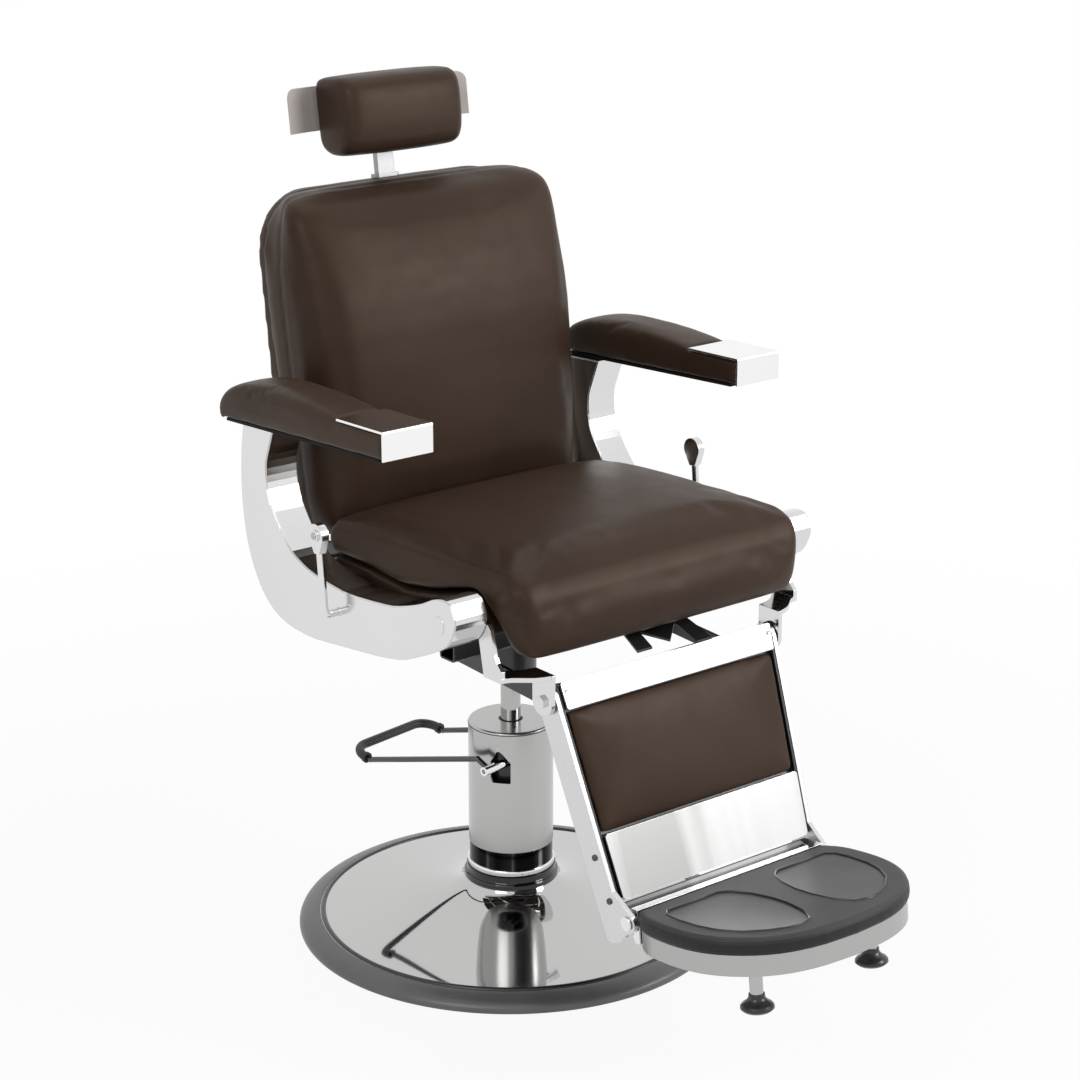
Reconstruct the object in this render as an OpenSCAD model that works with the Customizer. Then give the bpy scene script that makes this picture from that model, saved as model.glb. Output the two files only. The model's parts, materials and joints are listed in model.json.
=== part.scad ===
// Hydraulic barber chair: a pedal pump lifts and swivels a seat on side panels, the back reclines and
// raises the legrest through two link bars, the footrest flips up and the headrest slides and tilts.
// Millimetres, Z up, origin on the floor under the column, the sitter faces -Y and has -X on the right.

/* [Base] */
// Outer radius of the rubber floor ring
base_radius = 300; // [290:1:320]
// Radius of the round column cover
column_radius = 59.2; // [58:0.2:60]
// Height of the column cover's lid above the floor
column_top = 301.7; // [298:0.1:304]

/* [Pump lever] */
// Heading of the lever axle, turned from the X axis
lever_heading = 9.3; // [6:0.1:14]
// Half the distance between the two lever arms
lever_half_width = 75; // [72:0.5:76]
// Distance from the column's middle to the foot bar
lever_length = 239; // [230:1:250]
// How far the lever's arms droop at rest
lever_droop = 15.6; // [14:0.1:17]

/* [Seat] */
// Outer face of each side panel, from the middle of the chair
panel_outer = 301.5; // [300:0.5:306]
// Thickness of each side panel
panel_thickness = 50; // [44:0.5:52]
// Half the width of the seat cushion
seat_half_width = 243.5; // [230:0.5:244]
// Rise of the seat cushion's middle over its edges
seat_crown = 16; // [8:1:18]
// Width of an armrest
arm_width = 76; // [70:1:80]

/* [Back] */
// Lean of the backrest at rest
back_lean = 7.5; // [5:0.5:10]
// Height of the backrest above its hinge
back_height = 495; // [480:1:500]
// Half the width of the backrest at its widest
back_half_width = 222; // [210:1:226]
// Rise of the back cushion's middle over its edges
back_crown = 15; // [8:1:16]

/* [Headrest] */
// Half the width of the headrest cushion
head_half_width = 100; // [94:1:104]
// Height of the headrest cushion
head_height = 109; // [104:1:112]

/* [Legrest] */
// Lean of the legrest at rest
legrest_lean = 21.5; // [20:0.1:23]
// Outer face of each legrest rail at its hinge, from the middle of the chair
rail_outer = 188; // [186:0.5:188]
// How far each rail closes in over its length
rail_taper = 20; // [14:0.5:22]

/* [Footrest] */
// Half the width of the footrest at its widest
footrest_half_width = 178; // [172:1:182]
// Height of the footrest's top above the floor, at its rear edge
footrest_top = 225.4; // [225:0.1:227]
// How far the footrest tips up towards the toes
foot_tilt = 6.5; // [5.5:0.1:7]

/* [Hidden] */
$fn = 96;

// Fits: a running fit leaves this much air round a pin, a loose one this much
running_air = 0.05;
loose_air = 0.3;

// Base and pump
ring_inner = base_radius - 18;
ring_height = 14.5;
cover_seat = 11.8; // height where the dome sits on the ring
dome_sheet = 2.5;
dome_line = [[base_radius - 12, cover_seat], [base_radius - 15.5, 16.5], [270, 20], [230, 25],
    [180, 31.5], [130, 40], [95, 49], [75, 58], [64.5, 69]];
plate_radius = ring_inner - 0.5;
plate_bottom = 1.5;
plate_top = 9.5;
socket_radius = 60;
socket_top = 24;
collar_bottom = 69.2;
collar_top = 86.8;
collar_radius = 66.5;
collar_upper_radius = 62.5;
sleeve_top = 123;
sleeve_radius = 58.4;
sleeve_lip_radius = 61;
column_wall = 2.5;
column_lid = 3;
column_edge = 3; // radius round the lid's edge
pump_radius = 45;
pump_top = 290;
chamber_bottom = 30;
chamber_top = 235;
chamber_radius = 20;
rod_radius = 14;
rod_bottom = 125;
rod_top = 440;
head_thickness = 20;
gland_bore = 14.5;

// Pump lever, in its own frame: X along the axle, Y outward, Z up
axle_radius = 6.5;
axle_half_length = 86;
axle_offset = -28.2; // from the column's middle, along the lever
axle_height = 255.4;
lever_rod = 4;
arm_joggle = [21.2, 10]; // each arm climbs this far from the axle before it runs straight
arm_bend = 231; // from the axle to the bend where the foot bar's bow begins
bow_rise = 10.5; // how steeply the bow climbs
lever_corner = 26;
grip_radius = 6.5;
grip_flare = 7.8;
grip_flare_length = 5;
slot_outline = [[-11.4, -28], [11, -28], [13.5, -21], [13.5, 3], [8, 12], [5, 18], [1.5, 18.5], [-2.5, 15],
    [-11.4, 2]];

// Seat frame
panel_inner = panel_outer - panel_thickness;
panel_edge = 1.4; // depth of the relieved edge on both faces
// Matched points along the two edges of each side panel, from its top down and forward
panel_outer_line = [[187, 744.8], [195, 700], [197.5, 655], [196, 622], [190, 583], [177, 547], [155, 513],
    [128, 491.5], [98.5, 481], [69, 478], [33, 477.3], [-31.6, 484.6], [-101, 492.5], [-138, 498.5],
    [-168, 505.5], [-208, 522.4], [-234, 534.8], [-257, 548.5], [-268, 564], [-274, 580], [-271, 593],
    [-264, 604]];
panel_inner_line = [[115, 748.8], [128, 716], [135.5, 696], [136.5, 676], [134, 658], [127, 639],
    [114, 620], [99, 602], [81, 586], [56, 575], [29, 568], [-34, 561], [-88, 564], [-116, 567],
    [-143, 570.5], [-174, 579], [-200, 588], [-214, 594.5], [-225, 600], [-235, 603.5], [-245, 606],
    [-255, 606.5]];
panel_cap = [-238.6, 570.6];
panel_cap_radius = 12;
hub_radius = 36;
hub_bottom = 376;
hub_top = 470;
hub_plate_half = 78;
hub_plate_top = 480;
rail_pitch = 62;
rail_width = 25;
rail_top = 500;
rail_span = [-215, 60];
tube_wall = 2.5;
crossbar_depth = 30;
crossbar_top = 548;
front_crossbar_y = -190;
rear_crossbar_y = 35;
seat_base_half = 236;
seat_base_line = [[80, 548], [80, 567], [2, 567], [-83, 561], [-150, 573], [-226, 595], [-235, 593],
    [-262, 560], [-262, 548]];

// Seat cushion: matched points of its top and its underside, from the rear to the front lip
seat_top_line = [[92, 606], [84, 616], [52, 619], [2, 622], [-72, 627], [-140, 630], [-194, 632],
    [-245, 634], [-289, 634], [-315, 624], [-328, 606], [-331, 580], [-329, 550], [-324, 527]];
seat_low_line = [[92, 576], [84, 568.5], [52, 568.5], [2, 568.5], [-72, 562.5], [-140, 573.5],
    [-190, 588], [-228, 597], [-240, 594], [-257, 579], [-268.5, 562], [-276, 545], [-281, 531],
    [-291, 522]];
seat_edge = 16;
seat_lip_draw = 18; // how much narrower the lip's bottom is

// Armrests: the underside is a straight line that falls to the rear
arm_inner = 255;
arm_front = -171;
arm_rear = 190;
arm_front_bottom = 768.7;
arm_fall = 0.0546;
arm_base_thickness = 4;
arm_sheet = 3;
arm_plate_top = 806.5;
arm_plate_rear = -72;
arm_plate_fall = 0.03;
arm_leather_line = [[-68, 806], [-30, 810], [30, 813], [100, 811], [150, 805], [185, 792], [201, 775],
    [203, 762], [194, 752]];
arm_edge = 9;
arm_crown = 3;

// Front stay between the seat and the top of the legrest
stay_sheet = 3;
stay_line = [[-205, 530], [-262, 530], [-303, 514], [-336, 500.8]];

// Recline levers
recline_axis = [-24, 530.5];
recline_radius = 6;
recline_stub = 303; // half the length of the cross shaft
recline_reach = 322;
recline_head = [-14, 636];
recline_head_half = 5.5;

// Back, in the hinge's frame: Y to the rear, Z up the back
back_hinge = [0, 125, 540];
back_shaft_radius = 11;
journal_radius = 10;
journal_end = 291;
back_bottom = 28;
back_rear = 72;
back_edge = 30;
back_corner = 38;
back_rear_corner = 80; // radius of the top corners at the rear, drawn to the front's smaller one
// How far the cushion's front edge stands before the hinge, up the back
back_front_line = [[28, 27], [69, 33], [156, 42], [300, 46], [390, 35], [464, 18], [484, 2], [495, -22]];
shell_sheet = 3;
shell_rear = 92;
shell_crown = 8;
bracket_at = 190;
bracket_sheet = 6;
crank_at = 141;
crank_vector = [30, -20]; // from the hinge to the link pin, Y and Z at rest
link_pin = 5;

// Headrest, in the back's frame
post_width = 27;
post_depth = 10;
post_front = 82;
post_bottom = 330;
sleeve_air = 0.1;
sleeve_wall = 3;
post_sleeve_bottom = 295;
post_sleeve_top = back_height + 0.4;
collar_rise = 5;
tilt_axis = [87, 592];
tilt_barrel = 8;
tilt_pin = 4;
head_bottom = 531;
head_front = 14;
head_rear = 98;
head_front_edge = 22;
head_side_edge = 12;
head_rear_edge = 9;
channel_half = 20; // room in the cushion for the post and the tilt pin
channel_front = 70;
channel_top = 612;
wing_half_width = 150;
wing_flat = 95; // half the width of the wing's flat middle
wing_bottom = 568;
wing_top = 628;
wing_sweep = 17;
wing_sheet = 3;
wing_corner = 14;
wing_notch = [19, 590]; // half the width and the top of the notch that clears the post

// Legrest, in the hinge's frame: -Y outward, -Z down the leg
legrest_hinge = [0, -311, 467];
rail_sheet = 6;
rail_length = 317;
rail_front = -18;
rail_rear = 20;
rail_turn = atan(rail_taper / rail_length);
rail_slope = rail_taper / rail_length;
hinge_pin = 5;
foot_pivot = [0, -446, 207];
foot_pin = 6;
foot_pivot_local = [-30.3, -291.4];
backing_thickness = 8;
panel_face = 22;
band_top = 18;
band_bottom = -17;
band_half_width = 177;
pad_top = -17.6;
pad_bottom = -178.6;
pad_crown = 7;
skirt_top = -179;
skirt_bottom = -264;
ear_at = 190;
ear_radius = 19;
washer_at = 188.7;

// Link bars
link_at = 147.5;
link_sheet = 6;
link_half_height = 12;
link_line = [[0, 0], [281, 14], [436, 73]]; // from the legrest pin, back to the crank pin

// Footrest
tray_inset = 3.5;
rear_inset = 1; // the most that any outline of the footrest steps in at its rear edge
tray_bottom = 177;
tray_top = 204;
tray_wall = 4;
foot_rear = -455;
tray_rear = foot_rear - rear_inset;
foot_curve = [[161, -455], [171, -472], [176, -490], [178, -516], [177.5, -542], [173.5, -568],
    [166, -590], [153.5, -612], [133, -636], [109, -654], [82, -666], [48, -674], [0, -677.5]];
foot_recess = 1.6;
recess_line = [[-50, -481], [-37, -492], [-25, -518], [-19, -548], [-19, -578], [-25, -611], [-38, -635],
    [-58, -642], [-78, -638], [-102, -625], [-125, -605], [-140, -579], [-147, -551], [-149, -520],
    [-146, -492], [-136, -481]];
tread_rear = -418.5;
tread_front = -454.6;
tread_thickness = 4;
lug_at = 155;
lug_sheet = 6;
leg_at = 98.8;
leg_y = -597;
leg_radius = 8.5;
leg_flange = 15;
foot_radius = 21.4;
foot_height = 21.5;
foot_bottom = 115;

colour_chrome = [0.80, 0.81, 0.83];
colour_satin = [0.70, 0.71, 0.72];
colour_black = [0.10, 0.10, 0.11];
colour_rubber = [0.06, 0.06, 0.06];
colour_leather = [0.22, 0.15, 0.11];
colour_alloy = [0.74, 0.75, 0.76];

// ---- curves and rings ----

function unit(v) = v / norm(v);
function left_of(v) = [-v.y, v.x];
function reversed(list) = [for (i = [len(list) - 1:-1:0]) list[i]];

// A point of the smooth curve that runs through b and c on its way from a to d
function curve_point(a, b, c, d, t) =
    0.5 * (2 * b + (c - a) * t + (2 * a - 5 * b + 4 * c - d) * t * t + (3 * b - a - 3 * c + d) * t * t * t);

// A smooth open curve through the given points
function smooth(points, steps) = let (last = len(points) - 1) [
    for (i = [0:last - 1], s = [0:steps - 1])
        curve_point(points[max(i - 1, 0)], points[i], points[i + 1], points[min(i + 2, last)], s / steps),
    points[last]];

// The line shifted to its left by a distance, each corner mitred
function shifted_corner(a, b, c, distance) =
    let (n1 = left_of(unit(b - a)), n2 = left_of(unit(c - b)), m = n1 + n2)
    b + m * distance / max(0.7, m * n1);
function shifted_line(points, distance) = let (last = len(points) - 1) [
    for (i = [0:last]) i == 0
        ? points[0] + left_of(unit(points[1] - points[0])) * distance
        : i == last
        ? points[last] + left_of(unit(points[last] - points[last - 1])) * distance
        : shifted_corner(points[i - 1], points[i], points[i + 1], distance)];

// A closed loop drawn in by a distance; the loop runs anticlockwise
function inset_loop(points, distance) = let (n = len(points)) [
    for (i = [0:n - 1])
        shifted_corner(points[(i + n - 1) % n], points[i], points[(i + 1) % n], distance)];

// Height of a straight table of [position, value] pairs at a position
function table(pairs, at) = lookup(at, pairs);

// How deep a round edge of radius r lies at a distance e from the side
function edge_drop(e, r) = e >= r ? 0 : r - sqrt(r * r - (r - e) * (r - e));

// Stations across a cushion, close together at its round sides
stations = [-1, -0.993, -0.97, -0.93, -0.84, -0.68, -0.46, -0.22, 0, 0.22, 0.46, 0.68, 0.84, 0.93, 0.97,
    0.993, 1];

arm_stations = [-1, -0.96, -0.88, -0.76, -0.45, 0, 0.45, 0.76, 0.88, 0.96, 1];

function wall_triangles(rings, n) = [
    for (r = [0:rings - 2], k = [0:n - 1])
        let (a = r * n + k, b = r * n + (k + 1) % n) each [[a, a + n, b], [b, a + n, b + n]]];
function end_triangles(first, n, low) = [
    for (i = [0:n / 2 - 2])
        let (a = first + i, b = a + 1, c = first + n - 2 - i, d = c + 1)
            each low ? [[a, b, c], [a, c, d]] : [[a, c, b], [a, d, c]]];

// A closed skin over rings of 3-D points, each ring anticlockwise seen from the last one;
// the ends are closed by strips between the ring's two halves
module skin(rings) {
    n = len(rings[0]);
    polyhedron(
        points = [for (ring = rings, p = ring) p],
        faces = concat(wall_triangles(len(rings), n), end_triangles(0, n, true),
            end_triangles((len(rings) - 1) * n, n, false)),
        convexity = 6);
}

// A plate in the YZ plane, from x_from on, drawn as a 2-D outline of [y, z]
module yz_plate(x_from, thickness) {
    translate([x_from, 0, 0])
        rotate([90, 0, 90])
            linear_extrude(thickness)
                children();
}

// A round bar along X
module x_bar(radius, x_from, x_to, at = [0, 0]) {
    translate([x_from, at.x, at.y])
        rotate([0, 90, 0])
            cylinder(r = radius, h = x_to - x_from);
}

module ring(outer, inner, bottom, top) {
    difference() {
        translate([0, 0, bottom])
            cylinder(r = outer, h = top - bottom);
        translate([0, 0, bottom - 1])
            cylinder(r = inner, h = top - bottom + 2);
    }
}

module mirrored() {
    mirror([1, 0, 0])
        children();
}

// A rounded rectangle in 2-D from its corners, with true arcs
module rounded_rectangle(low, high, radius) {
    translate([low.x + radius, low.y])
        square([high.x - low.x - 2 * radius, high.y - low.y]);
    translate([low.x, low.y + radius])
        square([high.x - low.x, high.y - low.y - 2 * radius]);
    for (x = [low.x + radius, high.x - radius], y = [low.y + radius, high.y - radius])
        translate([x, y])
            circle(r = radius);
}

// ---- base and column ----

module base_ring() {
    color(colour_rubber)
        rotate_extrude()
            polygon([[ring_inner, 0], [base_radius - 2, 0], [base_radius, 2], [base_radius, 8],
                [base_radius - 2.5, 9.5], [base_radius - 2.5, 11.5], [base_radius - 6, ring_height],
                [base_radius - 11.7, ring_height], [base_radius - 11.7, cover_seat],
                [ring_inner, cover_seat]]);
}

module base_plate() {
    color(colour_black) {
        translate([0, 0, plate_bottom])
            cylinder(r = plate_radius, h = plate_top - plate_bottom);
        ring(socket_radius, pump_radius, plate_top, socket_top);
    }
}

module base_cover() {
    outer = smooth(dome_line, 3);
    inner = [for (p = shifted_line(outer, dome_sheet)) [p.x, max(p.y, cover_seat + 0.02)]];
    color(colour_chrome)
        rotate_extrude()
            polygon(concat(outer, reversed(inner)));
}

module pump_collar() {
    color(colour_black)
        rotate_extrude()
            polygon([[pump_radius + 1, collar_bottom], [collar_radius - 1, collar_bottom],
                [collar_radius, collar_bottom + 1], [collar_radius, 75.5], [collar_radius - 1.2, 77],
                [collar_upper_radius + 0.6, 77.4], [collar_upper_radius, 78.4],
                [collar_upper_radius, collar_top], [pump_radius + 1, collar_top]]);
}

module lower_sleeve() {
    color(colour_chrome)
        rotate_extrude()
            polygon([[pump_radius + 1, collar_top], [sleeve_lip_radius - 0.6, collar_top],
                [sleeve_lip_radius, collar_top + 0.6], [sleeve_lip_radius, 94.6],
                [sleeve_lip_radius - 1.4, 96], [sleeve_radius, 96.4], [sleeve_radius, sleeve_top],
                [pump_radius + 1, sleeve_top]]);
}

// The lever's frame, at the middle of the axle
module in_lever_frame() {
    rotate([0, 0, lever_heading])
        translate([0, axle_offset, axle_height])
            children();
}

module column_shroud() {
    edge = [for (a = [0:15:90])
        [column_radius - column_edge * (1 - cos(a)), column_top - column_edge * (1 - sin(a))]];
    inner = column_radius - column_wall;
    color(colour_satin)
        difference() {
            rotate_extrude()
                polygon(concat([[inner, sleeve_top], [column_radius, sleeve_top]], edge,
                    [[rod_radius + 3, column_top], [rod_radius + 3, column_top - column_lid],
                    [inner, column_top - column_lid]]));
            in_lever_frame()
                yz_plate(-column_radius - 10, 2 * column_radius + 20)
                    polygon(slot_outline);
        }
}

module rod_gland() {
    color(colour_black)
        ring(rod_radius + 2.9, gland_bore, pump_top, column_top);
}

module pump_body() {
    color(colour_black)
        difference() {
            translate([0, 0, plate_top])
                cylinder(r = pump_radius, h = pump_top - plate_top);
            translate([0, 0, chamber_bottom])
                cylinder(r = chamber_radius, h = chamber_top - chamber_bottom);
            translate([0, 0, chamber_top - 1])
                cylinder(r = rod_radius + running_air, h = pump_top - chamber_top + 2);
            in_lever_frame()
                x_bar(axle_radius + running_air, -pump_radius - 5, pump_radius + 5);
        }
}

// ---- pump lever ----

module pump_axle() {
    socket_depth = 9;
    color(colour_chrome)
        in_lever_frame()
            difference() {
                x_bar(axle_radius, -axle_half_length, axle_half_length);
                x_bar(3, -axle_half_length - 1, -axle_half_length + socket_depth);
                for (side = [-1, 1])
                    translate([side * lever_half_width, 0, 0])
                        rotate([atan(arm_joggle.y / arm_joggle.x) - 90, 0, 0])
                            cylinder(r = lever_rod + running_air, h = axle_radius + 2);
            }
}

// A round rod between two points of the lever's side plane at a distance x from its middle
module lever_rod_run(x, from, to, start) {
    along = to - from;
    translate([x, from.x, from.y])
        rotate([atan(along.y / along.x) - 90, 0, 0])
            translate([0, 0, start])
                cylinder(r = lever_rod, h = norm(along) - start);
}

arm_end = [arm_bend, arm_joggle.y - (arm_bend - arm_joggle.x) * tan(lever_droop)];

// The bow that carries the foot bar, or a tube round it, from a distance past the bend
module lever_bow(outer, inner, start) {
    reach = (lever_length - axle_offset - arm_bend) / cos(bow_rise);
    straight = reach - lever_corner;
    bar_half = lever_half_width - lever_corner;
    module section() {
        difference() {
            circle(r = outer);
            if (inner > 0)
                circle(r = inner);
        }
    }
    in_lever_frame()
        translate([0, arm_end.x, arm_end.y])
            rotate([bow_rise, 0, 0]) {
                for (side = [-1, 1]) {
                    translate([side * lever_half_width, start, 0])
                        rotate([-90, 0, 0])
                            linear_extrude(straight - start)
                                section();
                    translate([side * bar_half, straight, 0])
                        rotate([0, 0, side > 0 ? 0 : 90])
                            rotate_extrude(angle = 90)
                                translate([lever_corner, 0])
                                    section();
                }
                translate([-bar_half, reach, 0])
                    rotate([90, 0, 90])
                        linear_extrude(2 * bar_half)
                            section();
            }
}

module pump_loop() {
    color(colour_chrome) {
        lever_bow(lever_rod, 0, 0);
        in_lever_frame()
            for (side = [-1, 1]) {
                lever_rod_run(side * lever_half_width, [0, 0], arm_joggle, 0.5);
                lever_rod_run(side * lever_half_width, arm_joggle, arm_end, 0);
                for (joint = [arm_joggle, arm_end])
                    translate([side * lever_half_width, joint.x, joint.y])
                        sphere(r = lever_rod + 0.3);
            }
    }
}

module pump_grip() {
    start = lever_rod + 1;
    color(colour_rubber) {
        lever_bow(grip_radius, lever_rod + running_air, start);
        in_lever_frame()
            translate([0, arm_end.x, arm_end.y])
                rotate([bow_rise, 0, 0])
                    for (side = [-1, 1])
                        translate([side * lever_half_width, start, 0])
                            rotate([-90, 0, 0])
                                ring(grip_flare, lever_rod + running_air, 0, grip_flare_length);
    }
}

// ---- piston ----

module piston_rod() {
    color(colour_chrome) {
        translate([0, 0, rod_bottom - head_thickness])
            cylinder(r = chamber_radius - running_air, h = head_thickness);
        translate([0, 0, rod_bottom])
            cylinder(r = rod_radius, h = rod_top - rod_bottom);
    }
}

// ---- seat frame ----

module swivel_hub() {
    gusset = [[hub_radius - 4, hub_top - 46], [hub_radius, hub_top - 46], [hub_plate_half - 8, hub_top],
        [hub_radius - 4, hub_top]];
    color(colour_black)
        difference() {
            union() {
                rotate_extrude()
                    polygon([[0, hub_bottom + 2], [hub_radius - 2, hub_bottom + 2],
                        [hub_radius - 2, hub_bottom], [hub_radius, hub_bottom + 2], [hub_radius, hub_top],
                        [0, hub_top]]);
                translate([-hub_plate_half, -hub_plate_half, hub_top])
                    linear_extrude(hub_plate_top - hub_top)
                        rounded_rectangle([0, 0], [2 * hub_plate_half, 2 * hub_plate_half], 14);
                for (turn = [45:90:315])
                    rotate([90, 0, turn])
                        translate([0, 0, -3])
                            linear_extrude(6)
                                polygon(gusset);
            }
            translate([0, 0, hub_bottom - 1])
                cylinder(r = rod_radius + running_air, h = rod_top - hub_bottom + 2);
        }
}

module seat_rail_right() {
    color(colour_black)
        translate([-rail_pitch - rail_width / 2, rail_span[0], hub_plate_top])
            difference() {
                cube([rail_width, rail_span[1] - rail_span[0], rail_top - hub_plate_top]);
                translate([tube_wall, -1, tube_wall])
                    cube([rail_width - 2 * tube_wall, rail_span[1] - rail_span[0] + 2,
                        rail_top - hub_plate_top - 2 * tube_wall]);
            }
}

module seat_rail_left() {
    mirrored()
        seat_rail_right();
}

module crossbar(y) {
    depth = crossbar_depth;
    height = crossbar_top - rail_top;
    color(colour_black)
        yz_plate(-panel_inner, 2 * panel_inner)
            difference() {
                rounded_rectangle([y - depth / 2, rail_top], [y + depth / 2, crossbar_top], 4);
                translate([y - depth / 2 + tube_wall, rail_top + tube_wall])
                    square([depth - 2 * tube_wall, height - 2 * tube_wall]);
            }
}

module front_crossbar() {
    crossbar(front_crossbar_y);
}

module rear_crossbar() {
    crossbar(rear_crossbar_y);
}

// Curved side panel, with bores for the back's journal and the recline shaft
module panel_right() {
    outline = concat(smooth(panel_inner_line, 2), reversed(smooth(panel_outer_line, 2)));
    color(colour_chrome) {
        difference() {
            union() {
                yz_plate(-panel_outer + panel_edge, panel_thickness - 2 * panel_edge)
                    polygon(outline);
                for (x = [-panel_outer, -panel_inner - panel_edge])
                    yz_plate(x, panel_edge)
                        polygon(inset_loop(outline, panel_edge));
            }
            x_bar(journal_radius + running_air, -journal_end - 1, -panel_inner + 1,
                [back_hinge.y, back_hinge.z]);
            x_bar(recline_radius + running_air, -panel_outer - 1, -panel_inner + 1, recline_axis);
        }
        x_bar(panel_cap_radius, -panel_outer - 0.8, -panel_outer, panel_cap);
    }
}

module panel_left() {
    mirrored()
        panel_right();
}

module seat_base() {
    color(colour_leather)
        yz_plate(-seat_base_half, 2 * seat_base_half)
            polygon(seat_base_line);
}

// One ring of the seat cushion at a station s across it, from -1 to 1
function seat_ring(s) =
    let (
        last = len(seat_top_line) - 1,
        drop = edge_drop(seat_half_width * (1 - abs(s)), seat_edge),
        rise = seat_crown * (1 - pow(s, 4)),
        flat = concat(
            [for (i = [0:last]) let (p = seat_top_line[i])
                i < 9 ? p + [0, rise * min(1, (i + 2) / 5)]
                    : p + [-rise * 0.35 * sin(180 * (i - 8) / 6), rise * max(0, 0.6 - 0.2 * (i - 8))]],
            reversed(seat_low_line)),
        drawn = inset_loop(flat, drop)
    )
    [for (k = [0:2 * last + 1])
        let (
            i = k <= last ? k : 2 * last + 1 - k,
            width = seat_half_width - (i > 9 ? seat_lip_draw * (i - 9) / 4 : 0)
        )
        [s * width, drawn[k].x, drawn[k].y]];

module seat_cushion() {
    color(colour_leather)
        skin([for (s = stations) seat_ring(s)]);
}

// Height of an armrest's underside at y
function arm_bottom(y) = arm_front_bottom - arm_fall * (y - arm_front);

module arm_base_right() {
    inset = 6;
    front = arm_front + 20;
    color(colour_black)
        yz_plate(-arm_inner - arm_width + inset, arm_width - 2 * inset)
            polygon([[front, arm_bottom(front)], [front, arm_bottom(front) - arm_base_thickness],
                [arm_rear, arm_bottom(arm_rear) - arm_base_thickness], [arm_rear, arm_bottom(arm_rear)]]);
}

module arm_base_left() {
    mirrored()
        arm_base_right();
}

// Leather armrest: low under the chrome plate at its front, crowned behind it, round at its rear
arm_top_line = concat(
    reversed(smooth(arm_leather_line, 2)),
    [[arm_plate_rear + 1, arm_plate_top - arm_sheet - 3.3],
        [arm_front + arm_sheet + 0.3, arm_plate_top - arm_sheet - 0.4]]);

function arm_ring(s) =
    let (
        half = arm_width / 2,
        last = len(arm_top_line) - 1,
        drop = edge_drop(half * (1 - abs(s)), arm_edge),
        crown = arm_crown * (1 - s * s),
        top = [for (i = [0:last]) let (p = arm_top_line[i])
            p + [0, i < last - 1 ? crown - arm_crown : 0] - [0, i < last - 1 ? drop : min(drop, 1)]],
        low = [for (i = [0:last]) let (y = min(arm_top_line[i].x, arm_rear))
            [y, arm_bottom(y) + 0.3 * drop]]
    )
    [for (k = [0:2 * last + 1])
        let (p = k <= last ? top[k] : low[2 * last + 1 - k]) [-arm_inner - half + s * half, p.x, p.y]];

module arm_pad_right() {
    color(colour_leather)
        skin([for (s = arm_stations) arm_ring(s)]);
}

module arm_pad_left() {
    mirrored()
        arm_pad_right();
}

module arm_plate_right() {
    rear_top = arm_plate_top - arm_plate_fall * (arm_plate_rear - arm_front);
    color(colour_chrome)
        yz_plate(-arm_inner - arm_width, arm_width)
            polygon([[arm_front, arm_front_bottom], [arm_front + arm_sheet, arm_front_bottom],
                [arm_front + arm_sheet, arm_plate_top - arm_sheet], [arm_plate_rear, rear_top - arm_sheet],
                [arm_plate_rear, rear_top], [arm_front + 2, arm_plate_top],
                [arm_front + 0.6, arm_plate_top - 0.6], [arm_front, arm_plate_top - 2]]);
}

module arm_plate_left() {
    mirrored()
        arm_plate_right();
}

// Pressed black stay with two arms and a pointed web between them
module front_stay() {
    plan = [[-42, -200], [54, -200], [54, -262], [66, -340], [40, -340], [36, -296], [6, -322],
        [-24, -296], [-27, -325], [-52, -325], [-42, -262]];
    top = stay_line;
    low = [for (p = reversed(top)) p - [0, stay_sheet]];
    color(colour_black)
        intersection() {
            yz_plate(-80, 160)
                polygon(concat(top, low));
            translate([0, 0, 480])
                linear_extrude(70)
                    polygon(plan);
        }
}

// Joggled strip that carries the legrest: down the panel, inward and forward, and down to the hinge pin
module hanger_right() {
    leg = [[-300, 500], [-265, 500], [-253, 559], [-256, 566], [-262, 569.5], [-272, 570], [-278.5, 564],
        [-286, 534], [-291, 524], [-300, 515]];
    shelf_front = legrest_hinge.y - ear_radius;
    shelf_rear = legrest_hinge.y + ear_radius;
    at = [legrest_hinge.y, legrest_hinge.z];
    front_edge = smooth([[-panel_inner, -300], [-238, -303], [-214, -322], [-ear_at, shelf_front]], 3);
    rear_edge = smooth([[-panel_inner, -265], [-238, -268], [-214, -286], [-ear_at, shelf_rear]], 3);
    color(colour_satin) {
        yz_plate(-panel_inner, 6)
            polygon(leg);
        translate([0, 0, 500])
            linear_extrude(6)
                polygon(concat(front_edge, reversed(rear_edge)));
        yz_plate(-ear_at - 6, 6) {
            translate([shelf_front, at.y])
                square([2 * ear_radius, 506 - at.y]);
            translate(at)
                circle(r = ear_radius);
        }
        x_bar(9, -ear_at, -washer_at, at);
        x_bar(hinge_pin, -ear_at, -rail_outer + rail_sheet - 0.2, at);
        translate([-ear_at - 10.5, at.x, at.y])
            rotate([0, 90, 0])
                cylinder(r = 9, h = 4.5, $fn = 6);
    }
}

module hanger_left() {
    mirrored()
        hanger_right();
}

// ---- recline levers ----

module recline_shaft() {
    color(colour_chrome)
        x_bar(recline_radius, -recline_stub, recline_stub, recline_axis);
}

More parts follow.
